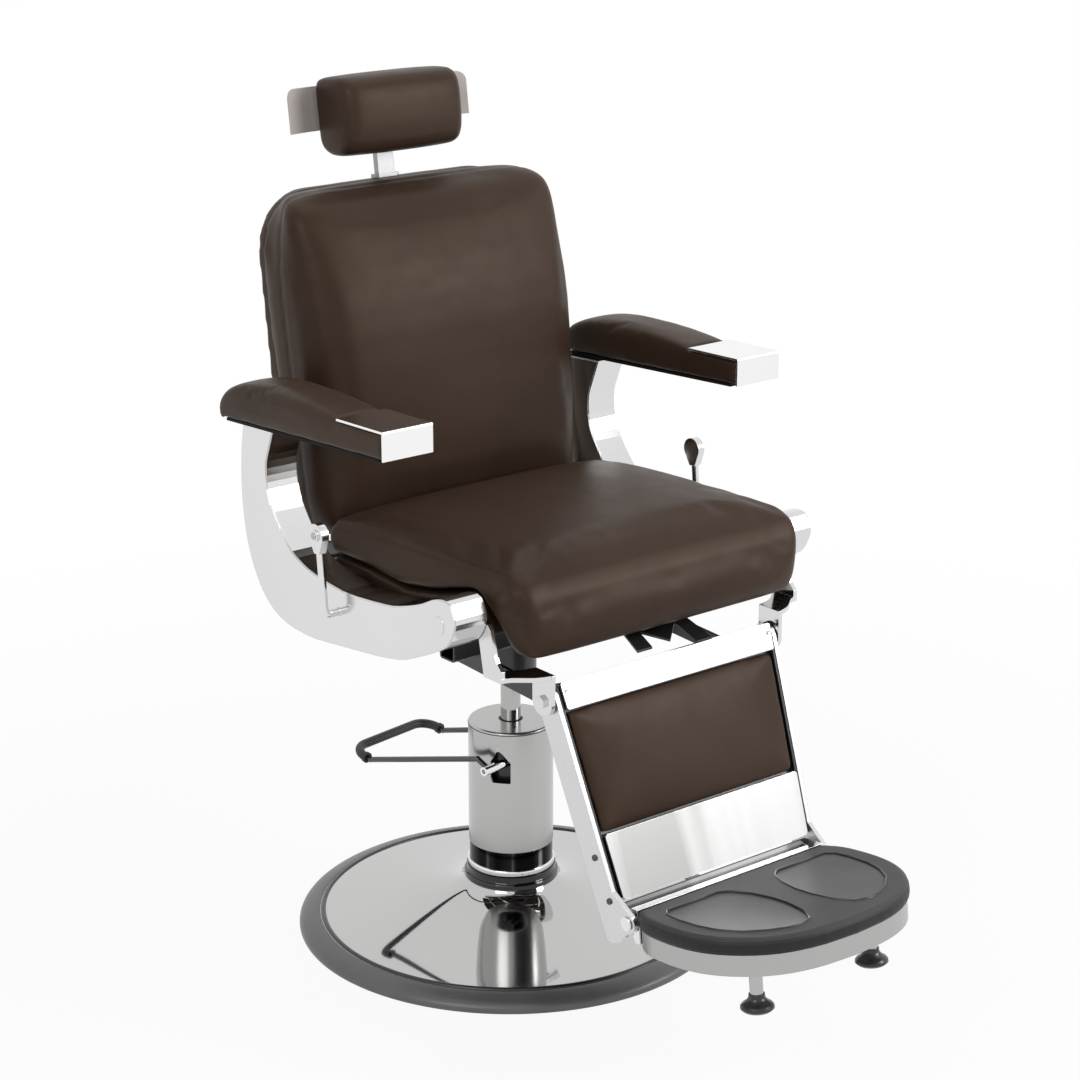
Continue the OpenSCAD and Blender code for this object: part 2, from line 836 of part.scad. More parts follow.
// Rod that turns up beside the panel and ends in a round head
module recline_lever_right() {
    bend = 9;
    rod = recline_radius - 1;
    rise = recline_head - recline_axis;
    tilt = atan(rise.x / rise.y);
    span = norm(rise);
    color(colour_chrome)
        translate([0, recline_axis.x, recline_axis.y])
            rotate([-tilt, 0, 0]) {
                x_bar(rod, -recline_reach + bend, -recline_stub - 0.2);
                translate([-recline_reach + bend, 0, bend])
                    rotate([90, 180, 0])
                        rotate_extrude(angle = 90)
                            translate([bend, 0])
                                circle(r = rod);
                translate([-recline_reach, 0, bend])
                    cylinder(r = rod, h = span - bend - 12);
                yz_plate(-recline_reach - recline_head_half, 2 * recline_head_half) {
                    translate([0, span])
                        circle(r = 15.5);
                    polygon([[-14.5, span - 5.5], [-5.5, span - 24], [5.5, span - 24], [14.5, span - 5.5]]);
                }
                x_bar(8, -recline_reach - recline_head_half - 2.5, -recline_reach, [0, span]);
            }
}

module recline_lever_left() {
    mirrored()
        recline_lever_right();
}

// ---- back ----

module in_back_frame() {
    translate(back_hinge)
        rotate([-back_lean, 0, 0])
            children();
}

module back_shaft() {
    color(colour_satin) {
        x_bar(journal_radius, -journal_end, journal_end, [back_hinge.y, back_hinge.z]);
        x_bar(back_shaft_radius, -panel_inner + 1, panel_inner - 1, [back_hinge.y, back_hinge.z]);
    }
}

// Welded frame: two brackets up the back and two cranks for the link bars
module back_frame() {
    bore = back_shaft_radius + running_air;
    pin = [back_hinge.y, back_hinge.z] + crank_vector;
    color(colour_black) {
        in_back_frame()
            for (side = [-1, 1])
                yz_plate(side > 0 ? bracket_at : -bracket_at - bracket_sheet, bracket_sheet)
                    difference() {
                        union() {
                            circle(r = 21);
                            polygon([[0, -20.9], [52, -14], [76, -8], [88, 6], [88, 250], [82, 262],
                                [75, 262], [75, 25], [40, 25], [0, 20.9]]);
                        }
                        circle(r = bore);
                    }
        for (side = [-1, 1])
            mirror([side > 0 ? 1 : 0, 0, 0]) {
                yz_plate(-crank_at - 6, 6)
                    difference() {
                        union() {
                            translate([back_hinge.y, back_hinge.z])
                                circle(r = 20);
                            translate(pin)
                                circle(r = 12);
                            polygon([[back_hinge.y + 8, back_hinge.z + 18.3], pin + [6, 10.4],
                                pin + [-6, -10.4], [back_hinge.y - 12, back_hinge.z - 16]]);
                        }
                        translate([back_hinge.y, back_hinge.z])
                            circle(r = bore);
                    }
                x_bar(link_pin, -link_at - link_sheet - 0.5, -crank_at - 6, pin);
                x_bar(link_pin + 2, -link_at - link_sheet - 3, -link_at - link_sheet - 0.5, pin);
            }
    }
}

// Half the width of the back at a height up it
function back_width(u, corner) =
    let (
        wide = table([[back_bottom, back_half_width - 8], [150, back_half_width - 4],
            [330, back_half_width]], u),
        high = u - (back_height - corner),
        low = back_bottom + 26 - u
    )
    wide - (high > 0 ? edge_drop(corner - high, corner) : 0) - (low > 0 ? edge_drop(26 - low, 26) : 0);

// How far the cushion's front edge stands before the hinge at a height up the back
back_front_curve = smooth(back_front_line, 4);
function back_front(u) = table(back_front_curve, u);

function back_ring(u, inset) =
    let (
        half = back_width(u, back_corner) - inset,
        half_rear = back_width(u, back_rear_corner) - inset,
        swell = back_crown * min(1, (u - back_bottom) / 90) * min(1, max(0, (back_height - u) / 110)),
        front = [for (s = stations)
            let (y = inset - back_front(u) - swell * (1 - s * s))
                [s * half, y + edge_drop(half * (1 - abs(s)), back_edge), u]],
        rear = [for (s = reversed(stations)) [s * half_rear, back_rear - inset * 0.3, u]]
    )
    concat(front, rear);

back_levels = [[28, 14], [30, 8], [36, 2], [50, 0], [75, 0], [110, 0], [156, 0], [210, 0], [260, 0],
    [305, 0], [345, 0], [385, 0], [424, 0], [453, 0], [472, 0], [484, 0], [491, 2], [494.6, 7]];

module back_cushion() {
    color(colour_leather)
        in_back_frame()
            skin([for (level = back_levels)
                let (u = min(level[0], back_height - 0.4)) back_ring(u, level[1])]);
}

// Crowned rear cover, hollow, with room for the brackets and the headrest sleeve
module shell_slab(front, crown_rear, half) {
    steps = 12;
    polygon(concat([[-half, front], [half, front]],
        [for (i = [0:steps]) let (x = half * (1 - 2 * i / steps))
            [x, crown_rear + shell_crown * (1 - pow(x / half, 2))]]));
}

module back_shell() {
    front = back_rear + 0.5;
    half = back_half_width - 6;
    opening = 18;
    wall = sleeve_wall + 1;
    color(colour_leather)
        in_back_frame()
            difference() {
                intersection() {
                    translate([0, 0, back_bottom])
                        linear_extrude(back_height - back_bottom)
                            shell_slab(front, shell_rear, half);
                    translate([0, 120, 0])
                        rotate([90, 0, 0])
                            linear_extrude(80)
                                rounded_rectangle([-half, back_bottom - 60], [half, back_height],
                                    back_rear_corner);
                }
                translate([0, 0, back_bottom - 1])
                    linear_extrude(back_height - back_bottom - 15)
                        shell_slab(front - 1, shell_rear - shell_sheet, half - opening);
                translate([-post_width / 2 - wall, post_front - wall, back_height - 20])
                    cube([post_width + 2 * wall, post_depth + 2 * wall, 30]);
            }
}

// Tube for the headrest post, with a chrome collar on top
module post_sleeve() {
    low = [-post_width / 2, post_front];
    high = [post_width / 2, post_front + post_depth];
    air = [sleeve_air, sleeve_air];
    wall = [sleeve_wall, sleeve_wall];
    rim = [sleeve_wall + 2, sleeve_wall + 1];
    color(colour_chrome)
        in_back_frame()
            difference() {
                union() {
                    translate([0, 0, post_sleeve_bottom])
                        linear_extrude(post_sleeve_top - post_sleeve_bottom)
                            rounded_rectangle(low - wall, high + wall, 3);
                    translate([0, 0, post_sleeve_top])
                        linear_extrude(collar_rise)
                            rounded_rectangle(low - rim, high + rim, 3);
                }
                translate([low.x - sleeve_air, low.y - sleeve_air, post_sleeve_bottom - 1])
                    cube([post_width + 2 * sleeve_air, post_depth + 2 * sleeve_air, 220]);
            }
}

// ---- headrest ----

module headrest_post() {
    color(colour_chrome)
        in_back_frame()
            difference() {
                union() {
                    translate([-post_width / 2, post_front, post_bottom])
                        cube([post_width, post_depth, tilt_axis.y - post_bottom]);
                    x_bar(tilt_barrel, -post_width / 2, post_width / 2, tilt_axis);
                }
                x_bar(tilt_pin + running_air, -post_width, post_width, tilt_axis);
            }
}

// Chrome plate behind the headrest, its wings swept forward, with two ears on the tilt pin
module headrest_plate() {
    front = head_rear + 0.1;
    steps = 5;
    span = wing_half_width - wing_flat;
    function sweep(x) = front - wing_sweep * pow(max(0, abs(x) - wing_flat) / span, 1.5);
    side = [for (i = [0:steps]) wing_flat + span * i / steps];
    xs = concat([for (x = reversed(side)) -x], side);
    ear_from = post_width / 2 + 0.4;
    ear_sheet = 4;
    color(colour_chrome)
        in_back_frame() {
            difference() {
                intersection() {
                    translate([0, 0, wing_bottom])
                        linear_extrude(wing_top - wing_bottom)
                            polygon(concat([for (x = xs) [x, sweep(x)]],
                                [for (x = reversed(xs)) [x, sweep(x) + wing_sheet]]));
                    translate([0, 120, 0])
                        rotate([90, 0, 0])
                            linear_extrude(80)
                                rounded_rectangle([-wing_half_width, wing_bottom - wing_corner],
                                    [wing_half_width, wing_top], wing_corner);
                }
                translate([-wing_notch.x, front - 1, wing_bottom - 1])
                    cube([2 * wing_notch.x, wing_sheet + 2, wing_notch.y - wing_bottom + 1]);
            }
            for (side = [-1, 1])
                yz_plate(side > 0 ? ear_from : -ear_from - ear_sheet, ear_sheet) {
                    translate([tilt_axis.x, tilt_axis.y - 1.5])
                        square([front + 1 - tilt_axis.x, 9.5]);
                    translate(tilt_axis)
                        circle(r = 8);
                }
            x_bar(tilt_pin, -ear_from - ear_sheet, ear_from + ear_sheet, tilt_axis);
        }
}

// The headrest's side profile as [depth, height], each from -1 to 1, anticlockwise from its rear bottom
head_profile = [[1, -0.55], [1, -0.2], [1, 0.15], [1, 0.5], [1, 0.86], [0.9, 0.98], [0.55, 1], [0.1, 1],
    [-0.4, 0.97], [-0.72, 0.88], [-0.92, 0.7], [-1, 0.4], [-1, 0.05], [-0.98, -0.3], [-0.9, -0.62],
    [-0.7, -0.85], [-0.4, -0.96], [0.05, -1], [0.5, -0.97], [0.8, -0.86], [0.95, -0.72]];

function head_ring(s) =
    let (
        half = [(head_rear - head_front) / 2, head_height / 2],
        middle = [head_front + half.x, head_bottom + half.y],
        e = head_half_width * (1 - abs(s)),
        front = edge_drop(e, head_front_edge) - 5 * (1 - s * s),
        side = edge_drop(e, head_side_edge) - 2 * (1 - s * s),
        rear = edge_drop(e, head_rear_edge)
    )
    [for (p = head_profile)
        [s * head_half_width, middle.x + p.x * (half.x - (p.x < 0 ? front : rear)),
            middle.y + p.y * (half.y - side)]];

module headrest_cushion() {
    rings = [for (s = stations) head_ring(s)];
    n = len(rings[0]);
    last = (len(rings) - 1) * n;
    tip = len(rings) * n;
    middle = [(head_rear + head_front) / 2, head_bottom + head_height / 2];
    color(colour_leather)
        in_back_frame()
            difference() {
                polyhedron(
                    points = concat([for (ring = rings, p = ring) p],
                        [for (s = [-1, 1]) [s * head_half_width, middle.x, middle.y]]),
                    faces = concat(wall_triangles(len(rings), n),
                        [for (k = [0:n - 1]) [k, (k + 1) % n, tip]],
                        [for (k = [0:n - 1]) [last + (k + 1) % n, last + k, tip + 1]]),
                    convexity = 4);
                translate([-channel_half, channel_front, head_bottom - 10])
                    cube([2 * channel_half, head_rear, channel_top - head_bottom + 10]);
            }
}

// ---- legrest ----

module in_legrest_frame() {
    translate(legrest_hinge)
        rotate([-legrest_lean, 0, 0])
            children();
}

// Flat bar from the hinge down, with a forward ear for the footrest
module legrest_rail_right() {
    color(colour_alloy)
        in_legrest_frame()
            difference() {
                translate([-rail_outer, 0, 0])
                    rotate([0, -rail_turn, 0])
                        yz_plate(0, rail_sheet) {
                            translate([1, 0])
                                circle(r = 19);
                            translate([rail_front, -rail_length + 6])
                                square([rail_rear - rail_front, rail_length - 6]);
                            polygon([[rail_front, -250], [-40, -281], [-44.2, -289], [-42, -299],
                                [-30, -305.4], [-6, -311], [0, -rail_length], [rail_rear - 6, -rail_length],
                                [rail_rear, -rail_length + 6], [rail_rear, -250]]);
                            translate(foot_pivot_local)
                                circle(r = 14);
                        }
                x_bar(hinge_pin + running_air, -rail_outer - 10, -rail_outer + 16);
                x_bar(foot_pin + running_air, -rail_outer, -rail_outer + 50, foot_pivot_local);
            }
}

module legrest_rail_left() {
    mirrored()
        legrest_rail_right();
}

// A tapered slab of the legrest between two heights, seen from its front
module leg_slab(top, bottom, half, front, thickness, corner = 0) {
    low_half = half + (bottom - top) * rail_slope;
    translate([0, -front + thickness, 0])
        rotate([90, 0, 0])
            linear_extrude(thickness)
                polygon([[-half + corner, top], [-half, top - corner], [-low_half, bottom + corner],
                    [-low_half + corner, bottom], [low_half - corner, bottom], [low_half, bottom + corner],
                    [half, top - corner], [half - corner, top]]);
}

// Black board that joins the rails, with side strips and the lugs for the link bars
module legrest_backing() {
    board_top = 14;
    board_bottom = -262;
    board_half = rail_outer - rail_sheet - 0.3 + board_top * rail_slope;
    strip = 3.6;
    pin = [35.2, -7.6];
    color(colour_black)
        in_legrest_frame() {
            leg_slab(board_top, board_bottom, board_half, backing_thickness, backing_thickness);
            difference() {
                leg_slab(board_top, board_bottom, board_half, 17, 17 - backing_thickness);
                leg_slab(board_top + 1, board_bottom - 1, board_half - strip + rail_slope, 18, 20);
            }
            for (side = [-1, 1])
                mirror([side > 0 ? 1 : 0, 0, 0]) {
                    yz_plate(-crank_at - 6, 6) {
                        translate(pin)
                            circle(r = 11);
                        polygon([[0, 12], pin + [2, 10.8], pin + [-5, -9.8], [0, -40]]);
                    }
                    x_bar(link_pin, -link_at - link_sheet - 0.5, -crank_at - 6, pin);
                    x_bar(link_pin + 2, -link_at - link_sheet - 2.5, -link_at - link_sheet - 0.5, pin);
                }
        }
}

module legrest_band() {
    color(colour_chrome)
        in_legrest_frame() {
            leg_slab(band_top, band_bottom, band_half_width + 1, panel_face,
                panel_face - backing_thickness - 0.2, 2);
            leg_slab(band_top, band_top - 2, band_half_width - 2, panel_face, panel_face - 2);
        }
}

module legrest_skirt() {
    half = band_half_width + skirt_top * rail_slope - 1;
    color(colour_chrome)
        in_legrest_frame()
            leg_slab(skirt_top, skirt_bottom, half, panel_face, panel_face - backing_thickness - 0.2, 3);
}

// One ring of the calf pad at a height z
function pad_ring(z, inset) =
    let (
        half = band_half_width + 0.6 + z * rail_slope - inset,
        along = (pad_top - z) / (pad_top - pad_bottom),
        swell = pad_crown * sqrt(sin(180 * min(1, max(0, along)))),
        front = [for (s = stations)
            [s * half, inset - panel_face - swell * (1 - s * s) + edge_drop(half * (1 - abs(s)), 10), z]],
        rear = [for (s = reversed(stations)) [s * half, -backing_thickness - 0.2, z]]
    )
    concat(front, rear);

module legrest_pad() {
    levels = [[pad_bottom, 4], [pad_bottom + 2, 1], [pad_bottom + 9, 0], [-150, 0], [-124, 0], [-98, 0],
        [-72, 0], [-46, 0], [pad_top - 9, 0], [pad_top - 2, 1], [pad_top, 4]];
    color(colour_leather)
        in_legrest_frame()
            skin([for (level = levels) pad_ring(level[0], level[1])]);
}

// ---- link bars ----

module link_right() {
    from = [back_hinge.y, back_hinge.z] + crank_vector;
    at = from - link_line[2];
    h = link_half_height;
    eye = h + 0.8;
    low = shifted_line([for (p = link_line) at + p], -h);
    high = shifted_line([for (p = link_line) at + p], h);
    color(colour_black)
        yz_plate(-link_at - link_sheet, link_sheet)
            difference() {
                union() {
                    polygon(concat(low, reversed(high)));
                    translate(at)
                        circle(r = eye);
                    translate(from)
                        circle(r = eye);
                }
                translate(at)
                    circle(r = link_pin + loose_air);
                translate(from)
                    circle(r = link_pin + running_air);
            }
}

module link_left() {
    mirrored()
        link_right();
}

// ---- footrest ----

// The outline of the footrest drawn in on all sides, anticlockwise, with its straight rear edge
function foot_inset(distance) =
    let (
        stretch = footrest_half_width / 178,
        side = [for (p = smooth(foot_curve, 2)) [p.x * stretch, p.y]],
        rear = foot_rear - min(distance, rear_inset),
        left = [for (p = shifted_line(side, -distance)) [max(p.x, 0), min(p.y, rear)]],
        right = [for (i = [len(left) - 2:-1:0]) [-left[i].x, left[i].y]]
    )
    reversed(concat(left, right));

// The footrest is drawn level and tips about its top rear edge
module in_foot_frame() {
    translate([0, foot_rear, footrest_top])
        rotate([-foot_tilt, 0, 0])
            translate([0, -foot_rear, -footrest_top])
                children();
}

// A point of the YZ plane as the footrest's frame sees it
function in_foot(p) =
    let (y = p.x - foot_rear, z = p.y - footrest_top)
    [foot_rear + y * cos(foot_tilt) - z * sin(foot_tilt),
        footrest_top + y * sin(foot_tilt) + z * cos(foot_tilt)];

module tray_outline(distance, bottom, height) {
    translate([0, 0, bottom])
        linear_extrude(height)
            polygon(foot_inset(distance));
}

module footrest_tray() {
    color(colour_alloy)
        in_foot_frame()
            difference() {
                tray_outline(tray_inset, tray_bottom, tray_top - tray_bottom);
                tray_outline(tray_inset + tray_wall, tray_bottom + tray_wall, tray_top);
            }
}

// Rubber tread with a rounded edge and a shallow recess for each shoe
module footrest_pad() {
    levels = [[tray_top, 3], [tray_top + 4, 0.6], [tray_top + 9, 0], [footrest_top - 7, 0.4],
        [footrest_top - 3.5, 1.8], [footrest_top - 1.2, 4.4], [footrest_top, 8]];
    n = len(foot_inset(0));
    color(colour_rubber)
        in_foot_frame()
            difference() {
                polyhedron(
                    points = [for (level = levels, p = foot_inset(level[1])) [p.x, p.y, level[0]]],
                    faces = concat(wall_triangles(len(levels), n), [[for (i = [0:n - 1]) i]],
                        [[for (i = [n - 1:-1:0]) (len(levels) - 1) * n + i]]),
                    convexity = 6);
                for (side = [0, 1])
                    mirror([side, 0, 0])
                        translate([0, 0, footrest_top - foot_recess])
                            linear_extrude(foot_recess + 1)
                                polygon(recess_line);
            }
}

// Chrome tread strip, lugs and pins that hang the footrest between the legrest rails
module footrest_hinge() {
    at = in_foot([foot_pivot.y, foot_pivot.z]);
    reach = lug_at + lug_sheet;
    color(colour_chrome)
        in_foot_frame() {
            yz_plate(-reach, 2 * reach) {
                polygon([[tread_front, footrest_top], [tread_front, footrest_top - tread_thickness],
                    [tread_rear, footrest_top - tread_thickness], [tread_rear + 0.8, footrest_top - 3],
                    [tread_rear + 0.8, footrest_top - 1.5], [tread_rear - 1, footrest_top]]);
                translate([tray_rear, tray_bottom + 4])
                    square([4, tray_top - tray_bottom - 4.4]);
            }
            for (side = [-1, 1])
                mirror([side > 0 ? 1 : 0, 0, 0]) {
                    yz_plate(-reach, lug_sheet) {
                        translate(at)
                            circle(r = 10.3);
                        polygon([[tray_rear + 0.2, tray_bottom + 4], [tray_rear + 0.2, tray_top - 0.4],
                            [tread_front, tray_top - 0.4], [tread_front, footrest_top], [-436, footrest_top],
                            [-433, 208], [-440, 197], [-447, tray_bottom + 4]]);
                    }
                    x_bar(foot_pin, -170.6, -reach, at);
                    x_bar(9, -172.8, -170.6, at);
                }
        }
}

// Round leg with a flange under the tray
module footrest_leg_right() {
    flange_thickness = 2.5;
    color(colour_satin)
        in_foot_frame()
            translate([-leg_at, leg_y, 0]) {
                translate([0, 0, foot_bottom + foot_height])
                    cylinder(r = leg_radius, h = tray_bottom - foot_bottom - foot_height);
                translate([0, 0, tray_bottom - flange_thickness])
                    cylinder(r = leg_flange, h = flange_thickness);
            }
}

module footrest_leg_left() {
    mirrored()
        footrest_leg_right();
}

module footrest_foot_right() {
    color(colour_rubber)
        in_foot_frame()
            translate([-leg_at, leg_y, foot_bottom])
                rotate_extrude()
                    polygon([[0, 0], [foot_radius - 3, 0], [foot_radius, 3], [foot_radius - 0.4, 6],
                        [foot_radius - 2.5, 8.5], [foot_radius - 7, 11.5], [12, 14], [10.6, 16.5],
                        [10, foot_height], [0, foot_height]]);
}

module footrest_foot_left() {
    mirrored()
        footrest_foot_right();
}

base_ring();
base_plate();
base_cover();
pump_collar();
lower_sleeve();
column_shroud();
rod_gland();
pump_body();
pump_axle();
pump_loop();
pump_grip();
piston_rod();
swivel_hub();
seat_rail_right();
seat_rail_left();
front_crossbar();
rear_crossbar();
panel_right();
panel_left();
seat_base();
seat_cushion();
arm_base_right();
arm_base_left();
arm_pad_right();
arm_pad_left();
arm_plate_right();
arm_plate_left();
front_stay();
hanger_right();
hanger_left();
recline_shaft();
recline_lever_right();
recline_lever_left();
back_shaft();
back_frame();
back_cushion();
back_shell();
post_sleeve();
headrest_post();
headrest_plate();
headrest_cushion();
legrest_rail_right();
legrest_rail_left();
legrest_backing();
legrest_band();
legrest_skirt();
legrest_pad();
link_right();
link_left();
footrest_tray();
footrest_pad();
footrest_hinge();
footrest_leg_right();
footrest_leg_left();
footrest_foot_right();
footrest_foot_left();
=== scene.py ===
import json
import math
import bpy
import bmesh
from mathutils import Matrix, Vector


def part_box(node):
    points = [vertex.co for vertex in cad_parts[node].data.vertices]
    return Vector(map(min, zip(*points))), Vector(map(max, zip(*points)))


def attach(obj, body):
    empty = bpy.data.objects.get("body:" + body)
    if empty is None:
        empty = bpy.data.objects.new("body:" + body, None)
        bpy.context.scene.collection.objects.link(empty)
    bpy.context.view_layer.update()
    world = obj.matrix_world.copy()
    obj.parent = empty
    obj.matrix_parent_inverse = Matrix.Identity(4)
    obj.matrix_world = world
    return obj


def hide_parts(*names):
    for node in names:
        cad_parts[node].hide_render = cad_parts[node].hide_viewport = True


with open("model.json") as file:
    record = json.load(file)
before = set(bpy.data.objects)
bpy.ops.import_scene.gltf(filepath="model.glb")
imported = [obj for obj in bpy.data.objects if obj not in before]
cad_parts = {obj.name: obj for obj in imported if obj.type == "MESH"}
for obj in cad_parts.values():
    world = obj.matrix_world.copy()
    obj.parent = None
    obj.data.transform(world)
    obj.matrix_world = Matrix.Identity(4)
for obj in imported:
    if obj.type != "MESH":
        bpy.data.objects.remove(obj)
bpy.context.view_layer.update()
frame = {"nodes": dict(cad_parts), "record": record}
nodes = frame["nodes"]
bodyOf = {n: body for body, names in frame["record"]["behaviour"]["bodies"].items() for n in names}
scene = bpy.context.scene
sides = (("Right", -1), ("Left", 1))  # the sitter's right is on the -X side
print("frame loaded,", len(nodes), "nodes")

backHinge = Vector((0, 0.125, 0.540))
backLean = math.radians(7.5)
backFrame = Matrix.Translation(backHinge) @ Matrix.Rotation(-backLean, 4, "X")
backOut = (backFrame.to_3x3() @ Vector((0, 1, 0))).normalized()

legHinge = Vector((0, -0.311, 0.467))
legLean = math.radians(21.5)
legFrame = Matrix.Translation(legHinge) @ Matrix.Rotation(-legLean, 4, "X")
legOut = (legFrame.to_3x3() @ Vector((0, 1, 0))).normalized()

footEdge = Vector((0, -0.455, 0.2254))  # rear top edge of the footrest
footTilt = math.radians(6.5)
footTurn = Matrix.Rotation(-footTilt, 4, "X")
footFrame = Matrix.Translation(footEdge) @ footTurn @ Matrix.Translation(-footEdge)


def newMaterial(name, **sockets):
    mat = bpy.data.materials.new(name)
    mat.use_nodes = True
    tree = mat.node_tree
    shader = tree.nodes["Principled BSDF"]
    for key, value in sockets.items():
        shader.inputs[key].default_value = value
    coord = tree.nodes.new("ShaderNodeTexCoord")
    return mat, tree, shader, coord.outputs["Object"]


def addNoise(tree, place, scale, detail=3.0, stretch=None):
    if stretch:
        mapping = tree.nodes.new("ShaderNodeMapping")
        mapping.inputs["Scale"].default_value = stretch
        tree.links.new(place, mapping.inputs["Vector"])
        place = mapping.outputs["Vector"]
    noise = tree.nodes.new("ShaderNodeTexNoise")
    noise.inputs["Scale"].default_value = scale
    noise.inputs["Detail"].default_value = detail
    tree.links.new(place, noise.inputs["Vector"])
    return noise.outputs["Fac"]


def addRamp(tree, value, places, colours):
    ramp = tree.nodes.new("ShaderNodeValToRGB")
    band = ramp.color_ramp
    while len(band.elements) < len(places):
        band.elements.new(0.5)
    for element, at, colour in zip(band.elements, places, colours):
        element.position = at
        element.color = (*colour, 1)
    tree.links.new(value, ramp.inputs["Fac"])
    return ramp.outputs["Color"]


def addRange(tree, value, low, high, start=0.0, end=1.0):
    spread = tree.nodes.new("ShaderNodeMapRange")
    for key, number in zip(("From Min", "From Max", "To Min", "To Max"), (start, end, low, high)):
        spread.inputs[key].default_value = number
    tree.links.new(value, spread.inputs["Value"])
    return spread.outputs["Result"]


def addMath(tree, operation, first, second):
    node = tree.nodes.new("ShaderNodeMath")
    node.operation = operation
    tree.links.new(first, node.inputs[0])
    tree.links.new(second, node.inputs[1])
    return node.outputs[0]


def addBump(tree, shader, height, strength, distance, roundEdge=0.0):
    bump = tree.nodes.new("ShaderNodeBump")
    bump.inputs["Strength"].default_value = strength
    bump.inputs["Distance"].default_value = distance
    tree.links.new(height, bump.inputs["Height"])
    if roundEdge:  # softens hard machined edges
        edge = tree.nodes.new("ShaderNodeBevel")
        edge.samples = 4
        edge.inputs["Radius"].default_value = roundEdge
        tree.links.new(edge.outputs["Normal"], bump.inputs["Normal"])
    tree.links.new(bump.outputs["Normal"], shader.inputs["Normal"])


leatherLook = dict(dark=(0.033, 0.0180, 0.0112), pale=(0.051, 0.0308, 0.0207), worn=(0.095, 0.064, 0.047),
                   sheen=0.20, sheenTint=(1.0, 0.84, 0.70, 1), patch=5.0, patchRange=(0.30, 0.72),
                   rubRange=(0.515, 0.585), rubMost=0.55, gloss=(0.36, 0.50), glossPatch=38,
                   grain=760, grainRise=1.4, pore=2300, poreRise=0.35, bump=0.14, depth=0.0004)


def makeLeather(name, look, shade=1.0):
    mat, tree, shader, place = newMaterial(name, **{"Specular IOR Level": look["sheen"],
                                                    "Specular Tint": look["sheenTint"]})
    dark, pale, rubbed = [tuple(c * shade for c in look[key]) for key in ("dark", "pale", "worn")]
    patches = addNoise(tree, place, look["patch"], 4.0)
    shape = tree.nodes.new("ShaderNodeNewGeometry")
    wear = addRamp(tree, shape.outputs["Pointiness"], look["rubRange"], ((0, 0, 0), [look["rubMost"]] * 3))
    worn = tree.nodes.new("ShaderNodeMix")  # raised edges are rubbed paler
    worn.data_type = "RGBA"
    whole, edge = [s for s in worn.inputs if s.type == "RGBA"]
    edge.default_value = (*rubbed, 1)
    tree.links.new(addRamp(tree, patches, look["patchRange"], (dark, pale)), whole)
    tree.links.new(wear, worn.inputs["Factor"])
    tree.links.new([s for s in worn.outputs if s.type == "RGBA"][0], shader.inputs["Base Color"])
    gloss = addNoise(tree, place, look["glossPatch"])
    tree.links.new(addRange(tree, gloss, *look["gloss"]), shader.inputs["Roughness"])
    cells = tree.nodes.new("ShaderNodeTexVoronoi")
    cells.feature = "DISTANCE_TO_EDGE"
    cells.inputs["Scale"].default_value = look["grain"]
    tree.links.new(place, cells.inputs["Vector"])
    grain = addRange(tree, cells.outputs["Distance"], 0.0, look["grainRise"])
    pores = addRange(tree, addNoise(tree, place, look["pore"], 2.0), 0.0, look["poreRise"])
    addBump(tree, shader, addMath(tree, "ADD", grain, pores), look["bump"], look["depth"])
    return mat


metalLook = dict(smear=2.4, smearTone=0.955, smearRange=(0.32, 0.62), smearGloss=(0.6, 1.3), depth=0.0002)


def makeMetal(name, tint, rough, grain, bump=0.02, brush=None, edge=0.0008):
    mat, tree, shader, place = newMaterial(name, Metallic=1.0)
    smudge = addNoise(tree, place, metalLook["smear"], 4.0)
    tones = [tuple(c * f for c in tint) for f in (metalLook["smearTone"], 1.0)]
    tree.links.new(addRamp(tree, smudge, metalLook["smearRange"], tones), shader.inputs["Base Color"])
    fine = addNoise(tree, place, grain, stretch=brush)
    smeared = addRange(tree, smudge, *metalLook["smearGloss"])
    gloss = addMath(tree, "MULTIPLY", smeared, addRange(tree, fine, *rough))
    tree.links.new(gloss, shader.inputs["Roughness"])
    addBump(tree, shader, fine, bump, metalLook["depth"], edge)
    return mat


paintLook = dict(patch=14, patchRange=(0.30, 0.70), sideShadeRange=(0.35, 0.90), depth=0.0004)


def makePaint(name, dark, pale, rough, grain, bump, edge=0.0006, coat=0.0, specular=0.5, paintedSideShade=None):
    mat, tree, shader, place = newMaterial(name, **{"Coat Weight": coat, "Specular IOR Level": specular})
    patches = addNoise(tree, place, paintLook["patch"], 4.0)
    colour = addRamp(tree, patches, paintLook["patchRange"], (dark, pale))
    if paintedSideShade:  # painted shade: upright faces are made darker than the top, as if lit from above
        coord = tree.nodes.new("ShaderNodeTexCoord")
        parts = tree.nodes.new("ShaderNodeSeparateXYZ")
        tree.links.new(coord.outputs["Normal"], parts.inputs[0])
        scaled = tree.nodes.new("ShaderNodeVectorMath")
        scaled.operation = "MULTIPLY"
        sideShadeLevel = addRamp(tree, parts.outputs["Z"], paintLook["sideShadeRange"], ([paintedSideShade] * 3, (1, 1, 1)))
        tree.links.new(colour, scaled.inputs[0])
        tree.links.new(sideShadeLevel, scaled.inputs[1])
        colour = scaled.outputs["Vector"]
    tree.links.new(colour, shader.inputs["Base Color"])
    fine = addNoise(tree, place, grain)
    tree.links.new(addRange(tree, fine, *rough), shader.inputs["Roughness"])
    addBump(tree, shader, fine, bump, paintLook["depth"], edge)
    return mat


paintedReflectionLook = dict(places=(0.44, 0.56, 0.66), grain=600, bump=0.01, depth=0.0002, edge=0.0008)
